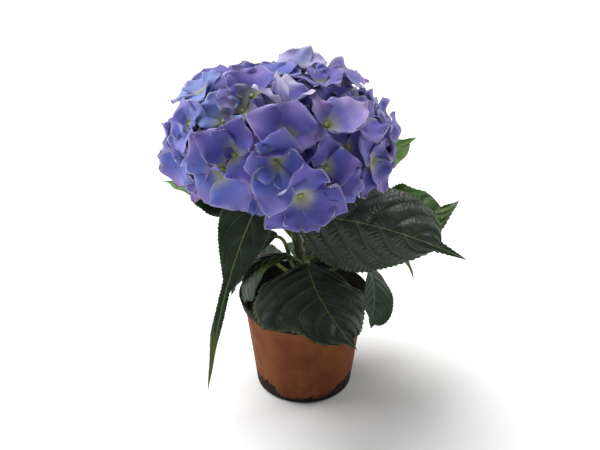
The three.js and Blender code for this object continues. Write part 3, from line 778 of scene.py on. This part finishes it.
def leaf_finish(leaf, upper):
    """Glossy green with fine pale veins above, duller and paler below."""
    green, vein_colour, under = LEAF_COLOURS[leaf["colour"]]
    kind = "upper" if upper else "under"
    material, tree, shader = new_finish(
        f"{leaf['name']}_{kind}", 0.3 if upper else 0.6,
        Specular_IOR_Level=leaf["gloss"] if upper else 0.2)
    along, across, from_rib = read_layers(tree, "along", "across", "from_rib")
    edge = reckon("ABSOLUTE", across)
    curl = times(reckon("POWER", edge, 3.0), VEIN_CURL)
    sweep = reckon("MULTIPLY_ADD", edge, VEIN_SWEEP, curl)
    order = reckon("DIVIDE", reckon("SUBTRACT", along, sweep), VEIN_SPACING)
    stagger = times(reckon("GREATER_THAN", across, 0.0), VEIN_STAGGER)
    order = reckon("ADD", order, stagger)
    from_vein = reckon("PINGPONG", order, 0.5)
    from_vein = times(from_vein, VEIN_SPACING * leaf["length"] * VEIN_SLANT)
    vein = fade(reckon("MULTIPLY_ADD", edge, 0.35, from_vein), 0.62, 0.2)
    rib = fade(reckon("MULTIPLY_ADD", along, 0.35, from_rib), 0.8, 0.45)
    lines = reckon("MAXIMUM", times(vein, 0.5), rib)
    place = object_place(tree)
    tone = mottle(place, 60, 3)
    net = put(tree, "TexVoronoi", {"Vector": place, "Scale": NET_SCALE}, feature="DISTANCE_TO_EDGE")
    mesh_veins = fade(net.outputs["Distance"], 0.10, 0.0)
    if upper:
        colour = tint(fade(tone, 0.3, 0.75), green, scaled(green, 1.9))
        rim = times(fade(edge, 0.93, 1.0), 0.45)
        colour = tint(rim, colour, vein_colour)
        colour = tint(times(mesh_veins, 0.10), colour, vein_colour)
        colour = tint(lines, colour, vein_colour)
        if "pale_tip" in leaf:
            colour = tint(fade(along, *leaf["pale_tip"]), colour, leaf["pale"])
    else:
        colour = tint(fade(tone, 0.3, 0.75), under, scaled(under, 0.75))
        colour = tint(lines, colour, scaled(under, 1.6))
    slanted = times(along, RUNG_SLANT[0] * leaf["length"])
    rung_turn = reckon("MULTIPLY_ADD", from_rib, RUNG_SLANT[1], slanted)
    wander = times(mottle(place, 110, 2), RUNG_WANDER)
    rung_turn = reckon("MULTIPLY_ADD", rung_turn, math.tau / RUNG_PITCH, wander)
    rungs = times(reckon("SINE", rung_turn), fade(from_vein, 0.5, 3.5))
    rungs = times(rungs, fade(tone, 0.35, 0.7))
    grain = reckon("SUBTRACT", tone, mesh_veins)
    height = reckon("MULTIPLY_ADD", rungs, RUNG_HEIGHT * leaf["rungs"], grain)
    wire(shader, colour, height, LEAF_RELIEF)
    return material


leaf_blank = blade_blank("leaf_blank", BLADE_STATIONS, BLADE_STRIPS)
stalk_skin = stem_finish("leaf_stalk_skin", LEAF_STALK_GREEN, LEAF_STALK_FLECKS, 0.5)
chance = make_chance(LEAF_SEED)
for leaf in LEAVES:
    leaf = {**USUAL_LEAF, **leaf}
    blade = add_piece(leaf["name"] + "_blade", shape_blade(leaf, leaf_blank, chance))
    for material in (leaf_finish(leaf, True), leaf_finish(leaf, False)):
        blade.data.materials.append(material)
    stalk = leaf_stalk(leaf)
    stalk.data.materials.append(stalk_skin)
    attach(blade, "root")
    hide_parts(leaf["name"])
    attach(stalk, "root")
bpy.data.objects.remove(leaf_blank)

# Flower head
# A dome of sterile florets. Rays spread from the knob of the stem, each ends in
# a cluster of thin stalks, and each stalk carries a floret of four sepals.
HEAD_CENTRE = np.array([-20, -15, 253])
HEAD_DOME = np.array([89, 89, 56])
HEAD_LOWEST = -24
HEAD_SEED = 4711
SPIRAL_FLORETS = 46
SPIRAL_TURN = 137.5
FLORET_SPACING = 22
FLORET_SIZE = 29
SIZE_SPREAD = 0.08
LIFT_SPREAD = 4
TURN_SPREAD = 12
LENGTH_SPREAD = (0.9, 1.1)
CLAW_RISE = (22, 38)
TIP_RISE = (-15, 5)
LEAN_SPREAD = 12
BACK_FROM = -0.15
FRONT_LEAN = 13
BACK_FLATTER = 13
BACK_SINK = 5
INNER_FLORETS = 110
INNER_SPACING = 13
INNER_SINK = -12
INNER_SIZE = 27
INNER_FLATTER = 4
DEEP_FLORETS = 150
DEEP_SPACING = 15
DEEP_SINK = -24
DEEP_FLATTER = -12
RAY_SHARE = 0.45

# Florets that stand out. Each: its azimuth and elevation on the dome, its lift
# off it, how steeply its sepals rise at the claw and at the tip, its shade, its
# sepals and, where it has one, the lean of its face to the right and upwards.
# Each sepal: its way round, its length in millimetres, its share of the usual
# width and, where it has one, a rise of its own.
# The shade column is partly painted light: indigo goes to the low front florets that lie in shade,
# pale to the floret at the top, and cup, near white towards its edges, to the cup whose backs face
# away from the light.
SEEN_FLORETS = [
    ((-111, 17), 6, (38, 0), "indigo",
     ((78, 31, 0.95, 42, 10), (159, 33, 0.75), (-39, 30, 0.8, 30, -5), (185, 12, 0.6, 65, 50))),
    ((-117, 4), 1, (27, -10), "blue",
     ((137, 38, 0.95, 30, 0), (-121, 33, 1.1), (-46, 36, 1), (60, 20, 0.5, 75, 45))),
    ((-91, 14), 11, (30, 5), "blue",
     ((72, 28, 1, 40, 5), (188, 25, 1, 45, -20), (-28, 29, 0.95), (-94, 42, 0.7, 24, -22))),
    ((-80, -8), 6, (32, -10), "indigo",
     ((90, 42, 0.8, 48, 0), (-16, 39, 0.85), (-66, 36, 1.0), (-138, 39, 0.8))),
    ((-68, 8), 4, (36, 5), "indigo",
     ((92, 27, 0.9), (-4, 28, 0.95), (-55, 33, 0.9, 22, -22), (-133, 18, 0.9, 20, -10))),
    ((-85, 29), 9, (50, 5), "violet",
     ((160, 37, 0.78), (72, 28, 1.1), (-22, 23, 0.85, 30, 0), (-149, 33, 0.85, 18, -10))),
    ((-86, 48), 6, (55, 40), "cup",
     ((180, 29, 0.85, 38, 20), (-140, 31, 0.55, 70, 64), (-15, 28, 0.8, 45, 40), (90, 30, 1)),
     (8, 36)),
    ((-114, 56), 4, (48, 12), "violet",
     ((152, 30, 0.9, 50, 15), (103, 27, 1.3, 52, 0), (51, 24, 0.9, 45, 10),
      (-86, 14, 0.8, 0, -40))),
    ((-116, 46), 1, (52, 12), "olive",
     ((150, 27, 0.95), (195, 25, 0.5, 70, 40), (11, 15, 0.8, 30, 0), (-88, 20, 0.9, 25, 0))),
    ((-124, 37), 2, (42, 0), "sky",
     ((178, 31, 0.8), (115, 28, 0.9), (-100, 24, 0.8, 20, -10), (-29, 26, 0.8, 20, -10))),
    ((-64, 33), 8, (42, 0), "mauve",
     ((101, 25, 0.8), (13, 36, 0.85), (-31, 24, 0.75, 32, 0), (-144, 20, 0.7, 20, -20))),
    ((-73, 33), -3, (35, 15), "sky",
     ((60, 17, 1), (150, 22, 1), (-120, 18, 1), (-30, 16, 1))),
    ((-44, 61), 5, (45, 12), "violet",
     ((165, 26, 0.8), (76, 22, 0.8), (0, 28, 0.9, 35, 0), (-100, 24, 0.9)), (0, 10)),
    ((-6, 55), 3, (40, 5), "mauve",
     ((20, 21, 1), (-70, 21, 1), (-155, 24, 1), (120, 23, 1))),
    ((-38, 35), 3, (30, -3), "violet",
     ((-116, 32, 0.9), (5, 22, 0.9), (110, 22, 0.9), (-175, 22, 0.9))),
    ((-52, 19), -2, (25, -10), "violet",
     ((-59, 24, 0.9), (-148, 24, 0.9), (125, 21, 0.9), (5, 22, 0.9))),
    ((-40, 4), 1, (27, -12), "indigo",
     ((-117, 31, 0.7), (-76, 34, 0.7), (128, 29, 0.8), (35, 24, 0.8))),
    ((-10, 0), -2, (25, -10), "violet",
     ((-33, 29, 1), (-130, 32, 1), (140, 28, 1), (60, 28, 1))),
    ((-12, 27), -2, (18, -22), "violet",
     ((-40, 29, 1.1), (40, 24, 1.1), (140, 27, 1.1), (-135, 29, 1.1))),
    ((-168, 46), 2, (40, 0), "sky",
     ((-118, 30, 1.1, 30, -10), (172, 24, 1, 34, -6), (70, 25, 0.9), (0, 27, 0.9, 25, -5))),
    ((-146, 27), 3, (35, 0), "blue",
     ((-165, 18, 1.5, 62, 35), (140, 24, 1, 50, 15), (45, 27, 0.8, 50, 10),
      (-50, 29, 0.95, 25, -12))),
    ((-143, 10), 1, (30, -6), "blue",
     ((-172, 15, 1.6, 55, 20), (120, 24, 1), (23, 28, 0.9), (-100, 34, 0.9, 12, -20))),
    ((-136, -2), -1, (25, -10), "violet",
     ((-140, 26, 1), (-93, 30, 0.55), (121, 26, 0.9), (24, 26, 0.9))),
    ((26, 76), -1, (52, 20), "pale",
     ((28, 27, 1.4), (88, 20, 1.5), (150, 27, 1.4), (-90, 24, 1.2, 20, -20)), (0, 24)),
    ((112, 71), -11, (30, -10), "violet",
     ((20, 26, 1), (110, 26, 1), (200, 26, 1), (290, 26, 1))),
    ((-95, 76), 2, (46, 6), "blue",
     ((140, 23, 0.9), (66, 23, 1.1), (-30, 25, 0.9, 30, 0), (-115, 24, 0.9, 20, -10)), (0, 12)),
    ((34, 54), -5, (34, -4), "violet",
     ((-18, 26, 0.9), (-95, 27, 0.9), (170, 24, 0.9), (80, 22, 0.9)), (0, 12)),
    ((-46, 48), -4, (36, 4), "blue",
     ((30, 27, 1), (120, 27, 1), (210, 25, 1), (300, 25, 1))),
    ((-26, 40), -6, (20, -20), "mauve",
     ((0, 30, 1.1), (90, 30, 1.1), (180, 28, 1.1), (270, 30, 1.1))),
    ((-22, 18), -7, (20, -20), "violet",
     ((10, 30, 1.1), (100, 30, 1.1), (190, 28, 1.1), (280, 30, 1.1))),
]
CLUSTERS = {
    "bloom_crown": (0, 90),
    "bloom_front": (-90, 14),
    "bloom_front_right": (-30, 14),
    "bloom_back_right": (30, 14),
    "bloom_back": (90, 14),
    "bloom_back_left": (150, 14),
    "bloom_front_left": (210, 14),
}
SHADES_BY_TURN = ["blue", "violet", "indigo", "blue", "mauve", "sky", "violet"]
INNER_SHADES = ["indigo", "violet", "blue"]
# The deep florets sunk between the others are all indigo: painted shade in the gaps of the head.
DEEP_PAINTED_SHADES = ["indigo"]


def sphere_direction(azimuth, elevation):
    turn, rise = math.radians(azimuth), math.radians(elevation)
    return np.array([
        math.cos(rise) * math.cos(turn), math.cos(rise) * math.sin(turn), math.sin(rise)])


def place_floret(azimuth, elevation, lift, sepals, rise, shade, lean=(0, 0)):
    """A floret on the dome, its face tipped to the right and up by the two leans."""
    way = sphere_direction(azimuth, elevation)
    normal = way / HEAD_DOME
    normal /= np.linalg.norm(normal)
    centre = HEAD_CENTRE + way * HEAD_DOME + normal * lift
    right = np.cross((0, 0, 1), normal)
    right /= np.linalg.norm(right)
    above = np.cross(normal, right)
    normal = normal + right * math.tan(math.radians(lean[0]))
    normal = normal + above * math.tan(math.radians(lean[1]))
    normal /= np.linalg.norm(normal)
    right = right - normal * (right @ normal)
    right /= np.linalg.norm(right)
    return dict(way=way, centre=centre, normal=normal, right=right,
                above=np.cross(normal, right), sepals=sepals, rise=rise, shade=shade)


def spiral_florets(florets, count, spacing, lifts, size, flatter, shades, chance):
    """Go round a spiral over the dome and add a floret wherever there is room."""
    lowest = math.sin(math.radians(HEAD_LOWEST))
    nearness = math.cos(math.radians(spacing))
    for i in range(count):
        height = 1 - (i + 0.5) / count * (1 - lowest)
        elevation = math.degrees(math.asin(height))
        way = sphere_direction(i * SPIRAL_TURN, elevation)
        if any(way @ floret["way"] > nearness for floret in florets):
            continue
        twist = chance(0, 90)
        length = size * chance(1 - SIZE_SPREAD, 1 + SIZE_SPREAD)
        sepals = [
            (turn + twist + chance(-TURN_SPREAD, TURN_SPREAD), length * chance(*LENGTH_SPREAD), 1)
            for turn in (0, 90, 180, 270)]
        rise = (chance(*CLAW_RISE) - flatter, chance(*TIP_RISE) - flatter)
        turn = math.radians(i * SPIRAL_TURN)
        lean = (chance(-LEAN_SPREAD, LEAN_SPREAD) - FRONT_LEAN * math.cos(turn),
                chance(-LEAN_SPREAD, LEAN_SPREAD) + FRONT_LEAN * math.sin(turn) * height)
        lift = chance(*lifts)
        if way[1] > BACK_FROM:
            rise = (rise[0] - BACK_FLATTER, rise[1] - BACK_FLATTER)
            lift -= BACK_SINK
        shade = shades[i % len(shades)]
        florets.append(place_floret(i * SPIRAL_TURN, elevation, lift, sepals, rise, shade, lean))


chance = make_chance(HEAD_SEED)
florets = [
    place_floret(*at, lift, sepals, rise, shade, *lean)
    for at, lift, rise, shade, sepals, *lean in SEEN_FLORETS]
spiral_florets(
    florets, SPIRAL_FLORETS, FLORET_SPACING, (-LIFT_SPREAD, LIFT_SPREAD), FLORET_SIZE, 0,
    SHADES_BY_TURN, chance)
spiral_florets(
    florets, INNER_FLORETS, INNER_SPACING, (INNER_SINK, INNER_SINK + LIFT_SPREAD), INNER_SIZE,
    INNER_FLATTER, INNER_SHADES, chance)
deep_florets = []
spiral_florets(
    deep_florets, DEEP_FLORETS, DEEP_SPACING, (DEEP_SINK, DEEP_SINK + LIFT_SPREAD), INNER_SIZE,
    DEEP_FLATTER, DEEP_PAINTED_SHADES, chance)
florets += deep_florets
focus = np.array(HEAD_FOCUS) / MM
cluster_ways = {name: sphere_direction(*ends) for name, ends in CLUSTERS.items()}
for number, floret in enumerate(florets):
    way = floret["centre"] - focus
    floret["number"] = number
    floret["cluster"] = max(cluster_ways, key=lambda name: way @ cluster_ways[name])

# Sepals
# Each sepal is a broad soft blade with a point, about as wide as it is long.
# It rises from the eye, bends back towards its tip and is folded and ruffled.
SEPAL_WIDTH = 0.6
SEPAL_THICKNESS = 0.5
SEPAL_STEPS = 32
SEPAL_STATIONS = 22
SEPAL_STRIPS = 11
LEAST_SEPAL = 0.012
CLAW_SPREAD = 5
TIP_SPREAD = 8
BROADEST = (0.40, 0.58)
POINTED = (0.35, 0.85)
DENT = 0.05
CREASE = (0.10, 0.50)
CURL = (-0.25, 0.32)
EDGE_ROLL = (-0.14, 0.10)
RUFFLES = (1.6, 3.4)
RUFFLE_HEIGHT = (0.04, 0.085)
TWIST = (-26, 26)
TIP_BEND = (-0.05, 0.12)
SWAY = (-0.09, 0.09)
LAYER_LIFTS = (0.2, 0.9)
FLORET_SEED = 1009
FLORET_SEED_STEP = 37
TILE_MARGIN = 0.03
PETAL_RELIEF = 0.18 * MM
# The colour near the eye and the colour towards the edge
# Indigo is partly painted shade, and pale and cup are partly painted light, as the table of florets
# deals them.
PETAL_SHADES = {
    "indigo": ((0.050, 0.055, 0.32), (0.125, 0.10, 0.38)),
    "blue": ((0.08, 0.11, 0.45), (0.20, 0.19, 0.54)),
    "sky": ((0.12, 0.18, 0.52), (0.25, 0.29, 0.64)),
    "violet": ((0.09, 0.085, 0.40), (0.24, 0.18, 0.50)),
    "mauve": ((0.13, 0.12, 0.44), (0.38, 0.27, 0.55)),
    "pale": ((0.28, 0.31, 0.64), (0.58, 0.54, 0.80)),
    "cup": ((0.07, 0.07, 0.42), (0.80, 0.74, 1.00)),
    "olive": ((0.18, 0.19, 0.22), (0.22, 0.19, 0.58)),
}
BLUSH = (0.34, 0.16, 0.46)
EYE_COLOUR = (0.26, 0.28, 0.06)
CLAW_COLOUR = (0.42, 0.43, 0.27)
PALE_BACK = (0.46, 0.43, 0.70)
CLAW_BACK = (0.32, 0.42, 0.22)
RIM_HIGHLIGHT = (0.74, 0.71, 0.95)


def shape_sepal(blank, floret, index, chance):
    """Bend a copy of the blank into one cupped and ruffled sepal of a floret."""
    mesh, s, across, face = copy_blank(blank)

    def by_half(low, high):
        return np.where(across > 0, chance(low, high), chance(low, high))

    turn, length, width, *own_rise = floret["sepals"][index]
    claw, end = own_rise or floret["rise"]
    claw, end = claw + chance(-CLAW_SPREAD, CLAW_SPREAD), end + chance(-TIP_SPREAD, TIP_SPREAD)
    edge = np.abs(across)
    broadest = by_half(*BROADEST)
    inward = np.minimum(1, s / broadest)
    outward = np.maximum(0, (s - broadest) / (1 - broadest))
    pointed = chance(*POINTED)
    half = np.sin(inward * np.pi / 2) ** 0.75
    half = half * (1 - pointed * outward - (1 - pointed) * outward ** 2)
    dents = s * (1 + 2 * pointed) + 9 * broadest
    half = half * (1 + DENT * np.sin(math.tau * dents))
    half = length * np.maximum(LEAST_SEPAL, SEPAL_WIDTH * width * half)

    middle = (np.arange(SEPAL_STEPS) + 0.5) / SEPAL_STEPS
    pitches = np.radians(claw + (end - claw) * middle)
    at = np.linspace(0, 1, SEPAL_STEPS + 1)
    reach, rise = (
        np.interp(s, at, np.append(0, np.cumsum(steps))) * length / SEPAL_STEPS
        for steps in (np.cos(pitches), np.sin(pitches)))
    pitch = np.radians(claw + (end - claw) * s)[:, None]

    heading = math.radians(turn)
    along = floret["right"] * math.cos(heading) + floret["above"] * math.sin(heading)
    side = np.cross(floret["normal"], along)
    out = floret["normal"] * np.cos(pitch) - along * np.sin(pitch)
    crease = chance(*CREASE) * (1 - 0.5 * s) * (np.sqrt(edge ** 2 + 0.02) - 0.14)
    curls = by_half(*CURL) * edge ** 4
    rolls = by_half(*EDGE_ROLL) * edge ** 12
    waves = by_half(0, 1) + s * chance(*RUFFLES)
    ruffle = np.sin(math.tau * waves) * chance(*RUFFLE_HEIGHT) * edge ** 2.5
    ruffle = ruffle * smooth_step(0.1, 0.5, s)
    twist = np.tan(math.radians(chance(*TWIST))) * across * s
    lift = half * (crease + curls + rolls + twist) + length * ruffle
    lift = lift + chance(*TIP_BEND) * length * smooth_step(0.7, 1, s) * (1 - edge)
    lift = lift + LAYER_LIFTS[index % 2] * (1 - s) + face * SEPAL_THICKNESS / 2
    sway = chance(*SWAY) * length * s ** 2
    place = floret["centre"] + along * reach[:, None] + floret["normal"] * rise[:, None]
    place = place + side * (half * across * np.cos(crease) + sway)[:, None] + out * lift[:, None]
    mesh.vertices.foreach_set("co", (place * MM).ravel())
    mesh.update()
    return mesh


def petal_finish(shade, upper):
    """Velvety sepal: yellow-green at the claw, its shade outwards, a thin edge painted pale as a
    highlight.
    """
    inner, outer = PETAL_SHADES[shade]
    material, tree, shader = new_finish(
        f"sepal_{shade}_{'face' if upper else 'back'}", 0.55, Specular_IOR_Level=0.3,
        Sheen_Weight=0.2, Subsurface_Weight=0.15, Subsurface_Scale=0.003,
        Subsurface_Radius=(0.35, 0.35, 0.9))
    along, across = read_layers(tree, "along", "across")
    edge = reckon("ABSOLUTE", across)
    place = object_place(tree)
    blotch = mottle(place, 55, 3)
    streak = reckon("MULTIPLY_ADD", mottle(place, 160, 2), 0.5, across)
    fan = fade(reckon("PINGPONG", times(streak, 7.0), 0.5), 0.14, 0.0)
    if upper:
        reach = reckon("MULTIPLY_ADD", blotch, 0.5, along)
        colour = tint(fade(reach, 0.55, 1.25), inner, outer)
        blush = fade(mottle(place, 34, 2), 0.50, 0.70)
        blush = times(blush, fade(along, 0.45, 1.0))
        colour = tint(times(blush, 0.6), colour, BLUSH)
        colour = tint(times(fan, 0.32), colour, scaled(inner, 0.6))
        claw = reckon("MULTIPLY_ADD", blotch, 0.2, along)
        claw = reckon("MULTIPLY_ADD", edge, 0.12, claw)
        glow = times(fade(claw, 0.52, 0.22), 0.75)
        colour = tint(glow, colour, CLAW_COLOUR)
        colour = tint(fade(claw, 0.34, 0.14), colour, EYE_COLOUR)
        # The pale rim round the edge and tip is a painted highlight, of edges catching the light,
        # broken into patches by noise.
        rim = reckon("MAXIMUM", fade(edge, 0.92, 1.0), fade(along, 0.95, 1.0))
        highlight_breaks = fade(mottle(place, 42, 2), 0.40, 0.62)
        colour = tint(times(rim, times(highlight_breaks, 0.8)), colour, RIM_HIGHLIGHT)
    else:
        colour = tint(fade(blotch, 0.3, 0.7), PALE_BACK, outer)
        colour = tint(times(fan, 0.3), colour, outer)
        glow = fade(along, 0.3, 0.0)
        colour = tint(times(glow, 0.7), colour, CLAW_BACK)
    wire(shader, colour, reckon("SUBTRACT", blotch, fan), PETAL_RELIEF)
    return material


petal_finishes = {
    (shade, upper): petal_finish(shade, upper) for shade in PETAL_SHADES for upper in (True, False)}
petal_order = list(petal_finishes)


def tile_map(mesh, tile, tiles):
    """Move the whole map of one sepal into its own tile of the cluster's map."""
    layer = mesh.uv_layers["OFBake"]
    spots = np.empty(len(layer.data) * 2, np.float32)
    layer.data.foreach_get("uv", spots)
    spots = spots.reshape(-1, 2) * (1 - 2 * TILE_MARGIN) + TILE_MARGIN
    spots = (spots + (tile % tiles, tile // tiles)) / tiles
    layer.data.foreach_set("uv", spots.ravel())


sepal_blank = blade_blank("sepal_blank", SEPAL_STATIONS, SEPAL_STRIPS)
for name in CLUSTERS:
    own = [floret for floret in florets if floret["cluster"] == name]
    tiles = math.ceil(math.sqrt(4 * len(own)))
    sepals = []
    for floret in own:
        chance = make_chance(FLORET_SEED + FLORET_SEED_STEP * floret["number"])
        for index in range(4):
            mesh = shape_sepal(sepal_blank, floret, index, chance)
            tile_map(mesh, len(sepals), tiles)
            for key in petal_order:
                mesh.materials.append(petal_finishes[key])
            face_slot = petal_order.index((floret["shade"], True))
            back_slot = petal_order.index((floret["shade"], False))
            slots = np.empty(len(mesh.polygons), np.int32)
            mesh.polygons.foreach_get("material_index", slots)
            mesh.polygons.foreach_set("material_index", np.where(slots == 0, face_slot, back_slot))
            sepals.append(add_piece("sepal", mesh))
    cluster = join_pieces(sepals, name + "_sepals")
    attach(cluster, "root")
    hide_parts(name)
bpy.data.objects.remove(sepal_blank)

# Rays, flower stalks and buds
# The rays and stalks are thin, smooth and pale green, bluish towards the head.
# A true flower sits in the eye of each floret as a small ribbed bud.
RAY_RADII = (2.6 * MM, 1.9 * MM)
STALK_RADII = (1.3 * MM, 0.8 * MM)
STALK_OUT = 0.3
STALK_ARRIVAL = 0.35
BUD_RADIUS = 2.7 * MM
BUD_HEIGHT = 1.6
BUD_RIBS = 4
BUD_PINCH = 0.16
BUD_SQUATNESS = (0.85, 0.25)
BUD_RELIEF = 0.2 * MM
BUD_COLOURS = ((0.34, 0.36, 0.08), (0.14, 0.20, 0.08))
RAY_GREEN = (0.20, 0.27, 0.12)
RAY_FLECKS = (0.16, 0.15, 0.22)


def bud_finish():
    """Ribbed bud, yellow-green with a darker blue-green crown."""
    material, tree, shader = new_finish("eye_bud", 0.45)
    tone = mottle(object_place(tree), 500, 2)
    colour = tint(fade(tone, 0.35, 0.65), *BUD_COLOURS)
    wire(shader, colour, tone, BUD_RELIEF)
    return material


ray_skin = stem_finish("ray_skin", RAY_GREEN, RAY_FLECKS, 0.5)
bud_skin = bud_finish()
bud_pattern = start_piece(
    "bud_pattern", bpy.ops.mesh.primitive_uv_sphere_add, segments=16, ring_count=10,
    radius=BUD_RADIUS)
for vertex in bud_pattern.data.vertices:
    turn = math.atan2(vertex.co.y, vertex.co.x)
    crown = max(0, vertex.co.z / BUD_RADIUS)
    pinch = 1 - BUD_PINCH * crown * (0.5 - 0.5 * math.cos(BUD_RIBS * turn))
    vertex.co.x *= pinch
    vertex.co.y *= pinch
    vertex.co.z *= BUD_SQUATNESS[0] - BUD_SQUATNESS[1] * crown ** 6
bpy.ops.object.shade_smooth()

for name in CLUSTERS:
    own = [floret for floret in florets if floret["cluster"] == name]
    middle = sum(floret["centre"] for floret in own) / len(own)
    branch = focus + (middle - focus) * RAY_SHARE
    way = branch - focus
    places = [Vector(focus + way * share) * MM for share in (0, 0.33, 0.67, 1)]
    stalks = [tube("ray", places, RAY_RADII, 3)]
    buds = []
    for floret in own:
        reach = np.linalg.norm(floret["centre"] - branch)
        arrival = floret["centre"] - floret["normal"] * reach * STALK_ARRIVAL
        ends = [branch, branch + way * STALK_OUT, arrival, floret["centre"]]
        stalks.append(tube("stalk", [Vector(end) * MM for end in ends], STALK_RADII, 1))
        axes = Matrix((floret["right"], floret["above"], floret["normal"])).transposed().to_4x4()
        bud = add_piece("bud", bud_pattern.data.copy())
        seat = Vector(floret["centre"] + floret["normal"] * BUD_HEIGHT) * MM
        bud.data.transform(Matrix.Translation(seat) @ axes)
        buds.append(bud)
    stalks = join_pieces(stalks, name + "_stalks")
    stalks.data.materials.append(ray_skin)
    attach(stalks, "root")
    buds = join_pieces(buds, name + "_buds")
    buds.data.materials.append(bud_skin)
    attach(buds, "root")
bpy.data.objects.remove(bud_pattern)

# Studio
# A plain pale floor under soft light, mostly from above, behind and the left,
# seen from the photograph's side.
FLOOR_SIZE = 14
FLOOR_DROP = 0.5 * MM
FLOOR_WHITE = (0.9, 0.9, 0.9, 1)
LIGHT_AIM = Vector((0, 0, 0.15))
SKY_PLACE = (-0.4, 0.5, 1.2)
SKY_STRENGTH = 3.4
SKY_SPREAD = math.radians(45)
AIR_STRENGTH = 0.22
CAMERA_PLACE = (-0.004, -0.683, 0.506)
CAMERA_PITCH = math.radians(26.6)
CAMERA_LENS = 51

floor = start_piece(
    "studio_floor", bpy.ops.mesh.primitive_plane_add, size=FLOOR_SIZE,
    location=(0, 0, -FLOOR_DROP))
floor.data.materials.append(new_finish("studio_white", 0.9, Base_Color=FLOOR_WHITE)[0])


def soft_light(name, place, size, power):
    bpy.ops.object.light_add(type="AREA", location=place)
    light = bpy.context.object
    light.name = name
    light.data.shape = "RECTANGLE"
    light.data.size, light.data.size_y = size
    light.data.energy = power
    aim = LIGHT_AIM - Vector(place)
    light.rotation_euler = aim.to_track_quat("-Z", "Y").to_euler()


soft_light("light_left", place=(-1.2, 0.1, 0.7), size=(0.8, 1.2), power=12)
soft_light("light_right", place=(1.2, 0.5, 0.6), size=(0.6, 1.0), power=8)

bpy.ops.object.light_add(type="SUN", location=SKY_PLACE)
skylight = bpy.context.object
skylight.name = "light_sky"
skylight.data.energy = SKY_STRENGTH
skylight.data.angle = SKY_SPREAD
skylight.rotation_euler = (-skylight.location).to_track_quat("-Z", "Y").to_euler()

world = bpy.data.worlds.new("studio_air")
bpy.context.scene.world = world
world.use_nodes = True
air = world.node_tree.nodes["Background"]
air.inputs["Color"].default_value = (1, 1, 1, 1)
air.inputs["Strength"].default_value = AIR_STRENGTH

bpy.ops.object.camera_add(location=CAMERA_PLACE, rotation=(math.pi / 2 - CAMERA_PITCH, 0, 0))
camera = bpy.context.object
camera.data.lens = CAMERA_LENS
bpy.context.scene.camera = camera
bpy.context.scene.view_settings.view_transform = "Standard"
